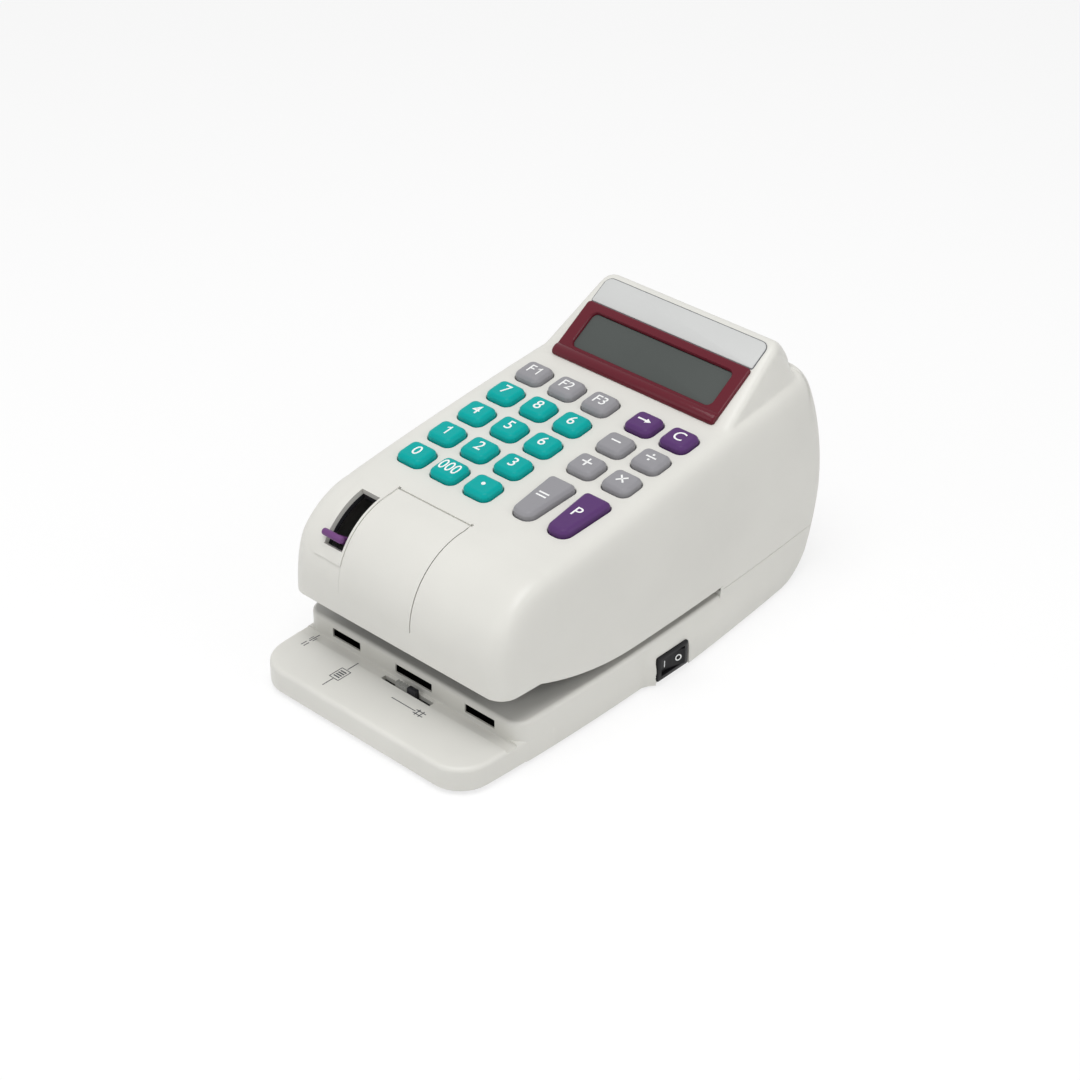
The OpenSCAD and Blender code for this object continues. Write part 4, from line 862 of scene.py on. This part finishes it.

# %% [markdown]
# ## The display
# A dark red frame with a rounded rail along its lower edge stands proud of the hood's face, with
# the smoked window sunk inside it. The plate above it is left bare, with a thin dark ring under its
# edge that paints the shadow where it meets the housing. All of them are stacks of a rounded plan,
# set on the sloping face.

# %% Display bezel, window and plate
BEZEL_W, BEZEL_L, BEZEL_T, BEZEL_EDGE = 110.0, 36.0, 1.8, 0.9
RAIL_HALF_L, RAIL_HALF_T, RAIL_UP = 3.6, 2.5, 0.7
PLATE_W, PLATE_L = 108.6, 16.0
PLATE_UP = BEZEL_L + PLATE_L / 2 + 0.6


def build_bezel():
    """Frame with eased edges, a rolled front rail and a rounded opening."""
    levels = [(0.02, 0.0), (BEZEL_T - BEZEL_EDGE, 0.0)]
    for t in np.radians(np.linspace(15, 90, 6)):
        levels.append((BEZEL_T - BEZEL_EDGE + BEZEL_EDGE * np.sin(t), BEZEL_EDGE * (1 - np.cos(t))))
    frame_plan = rounded(BEZEL_W, BEZEL_L, 2.2, 2.2, 0.4)
    bezel = loft("display_frame", on_face(BEZEL_L / 2, stack(frame_plan, levels)))
    a = np.linspace(0, 2 * np.pi, 28, endpoint=False)
    ends = ((-BEZEL_W / 2, 0.9), (-BEZEL_W / 2 + 0.5, 0.35), (-BEZEL_W / 2 + 1.4, 0.0),
            (BEZEL_W / 2 - 1.4, 0.0), (BEZEL_W / 2 - 0.5, 0.35), (BEZEL_W / 2, 0.9))
    rail = np.stack([np.column_stack([np.full(28, x),
                                      -BEZEL_L / 2 + 3.7 + (RAIL_HALF_L - e) * np.cos(a),
                                      RAIL_UP + (RAIL_HALF_T - e) * np.sin(a)]) for x, e in ends])
    rail[..., 2] = np.maximum(rail[..., 2], 0.03)
    join(bezel, on_face(BEZEL_L / 2, rail))
    levels = [(-3, 0.3), (0.6, 0.3), (BEZEL_T - 0.5, 0.0), (BEZEL_T + 0.2, -0.7), (6, -0.7)]
    return cut(bezel, on_face(BEZEL_L / 2 + 1.7, stack(rounded(95, 22.6, 3.6, 3.6), levels)))


bezel = dress(soften(build_bezel(), 40), BEZEL_RED, replaces=["display_bezel"])
pane_plan = rounded(95.4, 23.4, 1.7, 1.7)
pane = loft("display_pane", on_face(BEZEL_L / 2 + 0.9,
                                    stack(pane_plan, [(-1.4, 0), (-0.2, 0), (0.05, 0.15), (0.1, 0.4)])))
dress(soften(pane), WINDOW_GREY, replaces=["display_window"])
plate_plan = rounded(PLATE_W, PLATE_L, 4.2, 0.8)
plate = loft("bare_plate", on_face(PLATE_UP,
                                   stack(plate_plan, [(0, 0), (0.45, 0), (0.62, 0.12), (0.7, 0.35)])))
# A dark ring just wider than the plate and below its top: painted shadow where the plate meets the housing.
plate_painted_shadow = loft("plate_painted_shadow", on_face(PLATE_UP,
                                        stack(plate_plan, [(0, -0.42), (0.3, -0.42), (0.36, -0.3)])))
dress(soften(plate_painted_shadow, 40), INK_AND_SHADOW_LINE)
dress(soften(plate, 40), PLATE_SILVER, replaces=["label_plate"])
print("display bezel", len(bezel.data.polygons), "faces")

# %% [markdown]
# ## The lever and its slot
# The slot has a raised moulded rim that is bent round the nose and runs on over the key deck. The
# lever's arm turns about the nose's own centre, so its round finger bar keeps the same height above
# the rim. The rim is made of blocks bent by an angle, which gives it the nose's exact curve, and the
# lever is built upright and then turned to its place.

# %% Slot rim and print lever
def build_rim():
    """Thin flange and sleeve bent round the nose, opened by the slot."""
    rim = loft("lever_slot_rim", nose_band(RIM_LEFT - 2, RIM_RIGHT, NOSE_R + 0.06, NOSE_R + 0.6, 4, 70))
    sleeve = nose_band(RIM_LEFT, RIM_RIGHT, NOSE_R - 2.6, NOSE_R + 0.3, 9.5, 62.5)
    join(rim, sleeve)
    middle, half = (RIM_LEFT - 2 + RIM_RIGHT) / 2, (RIM_RIGHT - RIM_LEFT + 2) / 2
    join(rim, on_deck(middle, -76.0, box_rings((-half, -5.4, -0.5), (half, 5.0, 0.6))))
    return cut(rim, slot_gap())


def slot_gap():
    """The slot's opening, through the rim and the lining below it."""
    return nose_band(SLOT_X - SLOT_W / 2, SLOT_X + SLOT_W / 2, NOSE_R - 12, NOSE_R + 6, 10.5, 60)


dress(soften(build_rim()), HOUSING, replaces=["slot_bezel"])
lining = loft("lever_slot_lining", nose_band(RIM_LEFT, RIM_RIGHT, NOSE_R - 5.4, NOSE_R - 2.6, 9.5, 62.5))
dress(soften(cut(lining, slot_gap())), DARK_PLASTIC)
LEVER_X, LEVER_ANGLE = -42.05, np.radians(52)
BAR_OUT, HUB_R, BORE_R = 3.0, 4.5, 2.05


def lever_turn(points):
    """Turns points about the nose's centre line by the lever's angle."""
    p = np.asarray(points, float)
    c, s = np.cos(LEVER_ANGLE), np.sin(LEVER_ANGLE)
    return np.stack([p[..., 0], NOSE_CY + p[..., 1] * c - p[..., 2] * s,
                     NOSE_CZ + p[..., 1] * s + p[..., 2] * c], -1)


def build_lever():
    """Arm, hub and finger bar with rounded ends."""
    arm_plan = lambda i: rounded_plan(2.8 - 2 * i, 4 - 2 * i, (0.8, 0.8)) + [LEVER_X, 0]
    lever = loft("print_lever_arm", lever_turn(stack(arm_plan, [(3, 0), (NOSE_R + 2, 0)])))
    ends = [(-52.6, 1.0), (-52.45, 1.4), (-52.1, 1.75), (-51.6, 1.9),
            (-39.9, 1.9), (-39.5, 1.7), (-39.2, 1.3)]
    join(lever, lever_turn(rod(ends, 0.0, NOSE_R + BAR_OUT)))
    join(lever, lever_turn(rod([(LEVER_X - 1.4, HUB_R), (LEVER_X + 1.4, HUB_R)])))
    return cut(lever, lever_turn(rod([(-50, BORE_R), (-30, BORE_R)])))


lever = dress(soften(build_lever()), LEVER_PURPLE, "print_lever", ["print_lever"])
print("print lever", len(lever.data.polygons), "faces")

# %% [markdown]
# ## The power switch
# The rocker is a shallow V seen from above, with each half hollowed for the finger. Its two marks
# are the usual line and circle, which follow the hollowed face.

# %% Power switch
def sideways(points):
    """Turns points given along the side, up it and out of it to the body's right side."""
    p = np.asarray(points, float)
    return np.stack([SWITCH_X + p[..., 2], SWITCH_Y + p[..., 0], SWITCH_Z + p[..., 1]], -1)


def build_switch():
    """Flange with eased edges and a body behind it, with the rocker's well."""
    plan = rounded(SWITCH_L, SWITCH_H, 1.2, 1.2)
    switch = loft("switch_frame", sideways(stack(plan, [(0, 0), (0.8, 0), (1.2, 0.2), (1.4, 0.6)])))
    join(switch, sideways(box_rings((-10.2, -6, -11), (10.2, 6, 0.5))))
    return cut(switch, sideways(box_rings((-9, -4.9, -7), (9, 4.9, 5))))


ROCKER_HALF, ROCKER_HALF_H, HALF_THROW = (SWITCH_L - 7.2) / 2, 4.55, np.radians(-9)
MARK_OUT, MARK_R, MARK_HOLE, LINE_HALF = 4.6, 1.9, 1.25, 0.32


def rocker_turn(points):
    """Turns the rocker's points about its pivot by half its throw."""
    p = np.asarray(points, float)
    c, s = np.cos(HALF_THROW), np.sin(HALF_THROW)
    return np.stack([SWITCH_X - 1.2 + p[..., 0] * c - p[..., 1] * s,
                     SWITCH_Y + p[..., 0] * s + p[..., 1] * c, SWITCH_Z + p[..., 2]], -1)


def rocker_face(v):
    """Height of the rocker's face at a distance from its pivot: a shallow V whose halves are each
    hollowed by a sine."""
    return 2.4 - 0.9 * (1 - np.abs(v) / ROCKER_HALF) - 0.35 * np.sin(np.pi * np.abs(v) / ROCKER_HALF)


def build_rocker():
    """Rocker as a prism of its face's outline."""
    v = np.linspace(-ROCKER_HALF, ROCKER_HALF, 41)
    outline = np.column_stack([np.append(rocker_face(v), [-2.6, -2.6]),
                               np.append(v, [ROCKER_HALF - 1.2, -ROCKER_HALF + 1.2])])
    rings = np.stack([np.column_stack([outline, np.full(len(outline), z)])
                      for z in (-ROCKER_HALF_H, ROCKER_HALF_H)])
    return loft("switch_tip", rocker_turn(rings))


dress(soften(build_switch(), 40), SWITCH_BLACK, replaces=["switch_body"])
dress(soften(build_rocker(), 40), SWITCH_BLACK, "switch_rocker", ["switch_rocker"])
a = np.linspace(0, 2 * np.pi, 28, endpoint=False)
circle = [np.column_stack([r * np.cos(a) + MARK_OUT, r * np.sin(a)]) for r in (MARK_R, MARK_HOLE)]
quads = [[i, (i + 1) % 28, 28 + (i + 1) % 28, 28 + i] for i in range(28)]
line = np.array([[-MARK_OUT - LINE_HALF, -MARK_R], [-MARK_OUT + LINE_HALF, -MARK_R],
                 [-MARK_OUT + LINE_HALF, MARK_R], [-MARK_OUT - LINE_HALF, MARK_R]])
marks = np.concatenate([*circle, line])
on_rocker = rocker_turn(np.column_stack([rocker_face(marks[:, 0]) + 0.02, marks]))
legend = thicken("switch_marks", on_rocker, quads + [[56, 57, 58, 59]], lambda v: v, 0.05)
dress(legend, LEGEND, "switch_rocker")
print("switch flange", SWITCH_L, "by", SWITCH_H)

# %% [markdown]
# ## The stop slider
# This small slider runs along its slot at the foot of the wall and is moved with a fingertip. Its
# grip is a comb of low teeth, with a dark pointer beside it. The teeth are one saw-tooth outline
# drawn out sideways, which is enough at their size.

# %% Stop slider
def build_stop():
    """Low runner whose top is a comb of teeth: a saw-tooth profile along the slot."""
    x = np.linspace(-7, 1, 65)
    saw = 15.9 + 0.8 * np.abs(((x + 7) / 2.0) % 1 - 0.5) * 2
    side = np.column_stack([np.concatenate([x, [1, -7]]), np.concatenate([saw, [6.2, 6.2]])])
    return loft("stop_comb", [np.column_stack([STOP_X + side[:, 0], np.full(len(side), WALL_Y + y),
                                               side[:, 1]]) for y in (-5.3, -2.5)])


def build_stop_tip():
    """Dark pointer beside the comb: a wedge with eased edges."""
    plan = lambda i: rounded_plan(6.0 - 2 * i, 2.9 - 2 * i, (0.6, 0.6)) + [STOP_X + 4.1, WALL_Y - 3.9]
    return loft("stop_pointer", stack(plan, [(6.2, 0), (16.6, 0), (17.0, 0.15), (17.2, 0.5)]))


dress(soften(build_stop()), SLIDER_GREY, "stop_slider", ["stop_slider"])
dress(soften(build_stop_tip()), DARK_PLASTIC, "stop_slider")
print("stop slider's slot runs from", STOP_X - STOP_RUN, "to", STOP_X + STOP_RUN)

# %% [markdown]
# ## Marks printed on the tray
# Thin guide lines on the tray show how the paper is laid. They are generic: a group of dashes, a
# line through a ladder, and a line that ends in a lattice. Each is a flat bar between two points,
# with a little thickness, so that it is geometry as the legends are.

# %% Marks printed on the tray
def bar_between(a, b, w):
    """Thin bar between two points of the tray."""
    a, b = np.array(a, float), np.array(b, float)
    n = np.array([b[1] - a[1], a[0] - b[0]]) / np.linalg.norm(b - a) * w / 2
    return np.array([a - n, b - n, b + n, a + n])


GUIDE_X, LADDER_HALF, FOLD_Y = -30.1, 3.1, -118.5
LADDER_Y = (-127.0, -118.2)
DASHES = [(-62.1, -106.5, -62.3, -113.6, 0.45), (-60.9, -109.5, -61.0, -112.6, 0.35),
          (-63.4, -109.5, -63.5, -112.6, 0.35), (-61.3, -114.8, -61.4, -118.4, 0.5),
          (-63.1, -114.8, -63.2, -118.4, 0.5)]
marks = [bar_between((x0, y0), (x1, y1), w) for x0, y0, x1, y1, w in DASHES]
marks += [bar_between((GUIDE_X, y0), (GUIDE_X, y1), 0.5) for y0, y1 in ((-134.6, -127.4), (-117.4, -109.9))]
marks += [bar_between((GUIDE_X + x, LADDER_Y[0]), (GUIDE_X + x, LADDER_Y[1]), 0.45)
          for x in (-LADDER_HALF, LADDER_HALF)]
marks += [bar_between((GUIDE_X - LADDER_HALF, y), (GUIDE_X + LADDER_HALF, y), 0.45) for y in LADDER_Y]
marks += [bar_between((GUIDE_X - 2.0, y), (GUIDE_X + 2.0, y), 0.85) for y in (-125.0, -123.4, -121.8, -120.2)]
marks += [bar_between((2.4, FOLD_Y), (18.9, FOLD_Y), 0.5)]
marks += [bar_between((18.5, FOLD_Y + d), (24.9, FOLD_Y + d), 0.5) for d in (-1.3, 1.3)]
marks += [bar_between((x, FOLD_Y - 2.4), (x, FOLD_Y + 2.4), 0.5) for x in (20.3, 22.9)]
verts, faces = flat_marks(marks)
tray_marks = thicken("tray_marks", verts, faces, lambda v: v + [0, 0, TRAY_Z + 0.03])
dress(tray_marks, INK_AND_SHADOW_LINE)
print("tray marks", len(marks))

# %% [markdown]
# ## The rest of the machine
# The solids that are hidden inside or underneath keep their CAD shape, because nothing there is
# sculpted: sheet-metal frames, turned shafts, gears and boards. Each is a copy with its doubled
# points merged, so that round faces shade smoothly, and gets its own finish.

# %% Finishes of the carried CAD nodes
CARRIED = {"bottom_plate": DARK_PLASTIC, "battery_door": DARK_PLASTIC, "head_plate": DARK_PLASTIC,
           "dc_jack": DARK_PLASTIC, "rubber_feet": RUBBER, "housing_screws": STEEL,
           "battery_cells": CELL_JACKET, "print_hammer": STEEL,
           "feed_roller": RUBBER, "pinch_roller": RUBBER, "lcd_module": BOARD_GREEN,
           "frame_left": STEEL, "frame_right": STEEL, "type_wheels": DARK_STEEL, "ink_roller": FELT,
           "drive_gear": ACETAL, "drive_motor": STEEL, "motor_pinion": BRASS,
           "key_membrane": RUBBER, "main_board": BOARD_GREEN}


def refined(name, material):
    """Copy of a node's mesh with its doubled points merged, so that its round faces shade smoothly."""
    mesh = NODES[name].data.copy()
    mesh.name = name + "_fine"
    mesh.transform(NODES[name].matrix_world)
    work = bmesh.new()
    work.from_mesh(mesh)
    bmesh.ops.remove_doubles(work, verts=work.verts, dist=1e-6)
    work.to_mesh(mesh)
    work.free()
    obj = bpy.data.objects.new(name + "_fine", mesh)
    bpy.context.scene.collection.objects.link(obj)
    return dress(soften(obj, 30), material, name if name in frame["bodies"] else "body", [name])


for name, material in CARRIED.items():
    refined(name, material)
print("carried nodes", len(CARRIED))

# %% [markdown]
# ## Stage, light and camera
# A pale floor that runs to white, a broad soft light from above and slightly in front, and two weak
# fills. The camera sees the background as white, and so do gloss and glass. The diffuse light on
# the object comes from a weaker sky, so that its colours stay near the written ones.

# %% Stage
def seen_directly(nodes, links):
    """1 for rays from the camera and for those that gloss or glass sends on, 0 for diffuse light."""
    path = nodes.new("ShaderNodeLightPath")
    factor = path.outputs["Is Camera Ray"]
    for other in ("Is Glossy Ray", "Is Transmission Ray"):
        larger = nodes.new("ShaderNodeMath")
        larger.operation = "MAXIMUM"
        links.new(factor, larger.inputs[0])
        links.new(path.outputs[other], larger.inputs[1])
        factor = larger.outputs[0]
    return factor


def stage_material():
    """Floor that is white to the camera and still keeps the object's shadow."""
    mat, nodes, links, shader = new_material("studio_floor")
    shader.inputs["Base Color"].default_value = (0.92, 0.92, 0.92, 1)
    shader.inputs["Roughness"].default_value = 0.9
    shader.inputs["Specular IOR Level"].default_value = 0.1
    glow = nodes.new("ShaderNodeEmission")
    glow.inputs["Strength"].default_value = 1.03
    mix = nodes.new("ShaderNodeMixShader")
    share = nodes.new("ShaderNodeMath")
    share.operation = "MULTIPLY"
    share.inputs[1].default_value = FLOOR_WHITE
    links.new(seen_directly(nodes, links), share.inputs[0])
    links.new(share.outputs[0], mix.inputs[0])
    links.new(shader.outputs[0], mix.inputs[1])
    links.new(glow.outputs[0], mix.inputs[2])
    links.new(mix.outputs[0], nodes["Material Output"].inputs["Surface"])
    return mat


FLOOR_HALF, FLOOR_Z, FLOOR_WHITE = 6000, -0.2, 0.72
corners = [[x * FLOOR_HALF, y * FLOOR_HALF, FLOOR_Z] for x, y in ((-1, -1), (1, -1), (1, 1), (-1, 1))]
floor = put_mesh("floor", corners, [[0, 1, 2, 3]])
floor.data.materials.append(stage_material())

world = bpy.data.worlds.new("studio")
bpy.context.scene.world = world
world.use_nodes = True
wn, wl = world.node_tree.nodes, world.node_tree.links
sky = wn["Background"]
sky.inputs["Color"].default_value = (1, 1, 1, 1)
sky.inputs["Strength"].default_value = 0.47
bright = wn.new("ShaderNodeBackground")
bright.inputs["Color"].default_value = (1, 1, 1, 1)
bright.inputs["Strength"].default_value = 1.0
both = wn.new("ShaderNodeMixShader")
wl.new(seen_directly(wn, wl), both.inputs[0])
wl.new(sky.outputs[0], both.inputs[1])
wl.new(bright.outputs[0], both.inputs[2])
wl.new(both.outputs[0], wn["World Output"].inputs["Surface"])


def lamp(name, where, aim, size, power):
    """Square area light at a place in metres, turned to its aim."""
    data = bpy.data.lights.new(name, "AREA")
    data.shape, data.size, data.energy = "SQUARE", size, power
    obj = bpy.data.objects.new(name, data)
    obj.location = where
    obj.rotation_euler = (Vector(aim) - Vector(where)).to_track_quat("-Z", "Y").to_euler()
    bpy.context.scene.collection.objects.link(obj)
    return obj


lamp("key_light", (0.12, -0.35, 1.45), (0, 0, 0.08), 0.9, 11.5)
lamp("front_fill", (-0.5, -1.4, 0.8), (0, 0, 0.06), 1.0, 2.6)
lamp("side_strip", (1.3, 0.3, 1.0), (0.03, 0, 0.08), 0.6, 3.0)
print("lamps", len(bpy.data.lights))

# %% [markdown]
# ## The camera
# It stands where the photograph was taken from. Its place, its angles and its focal length in
# pixels were worked out from the key grid, the display frame and the base's edges in the photograph.

# %% Camera
camera_data = bpy.data.cameras.new("camera")
camera = bpy.data.objects.new("camera", camera_data)
bpy.context.scene.collection.objects.link(camera)
CAMERA_AT = Vector((731.07, -797.80, 761.86)) * MM
FOCAL_PX, FRAME_PX = 2519.91, 1080.0
SENSOR_MM = 36.0
camera_data.sensor_width = SENSOR_MM
camera_data.lens = FOCAL_PX * SENSOR_MM / FRAME_PX
AZ, EL, ROLL = np.radians(42.81), np.radians(33.34), np.radians(0.065)
ahead = Vector((-np.sin(AZ) * np.cos(EL), np.cos(AZ) * np.cos(EL), -np.sin(EL)))
across = ahead.cross(Vector((0, 0, 1))).normalized()
above = across.cross(ahead)
right = across * np.cos(ROLL) + above * np.sin(ROLL)
up = above * np.cos(ROLL) - across * np.sin(ROLL)
camera.matrix_world = Matrix(((right.x, up.x, -ahead.x, CAMERA_AT.x),
                              (right.y, up.y, -ahead.y, CAMERA_AT.y),
                              (right.z, up.z, -ahead.z, CAMERA_AT.z), (0, 0, 0, 1)))
camera_data.clip_start, camera_data.clip_end = 0.05, 30
bpy.context.scene.camera = camera
bpy.context.scene.view_settings.view_transform = "Standard"
print("lens in mm", round(camera_data.lens, 1))
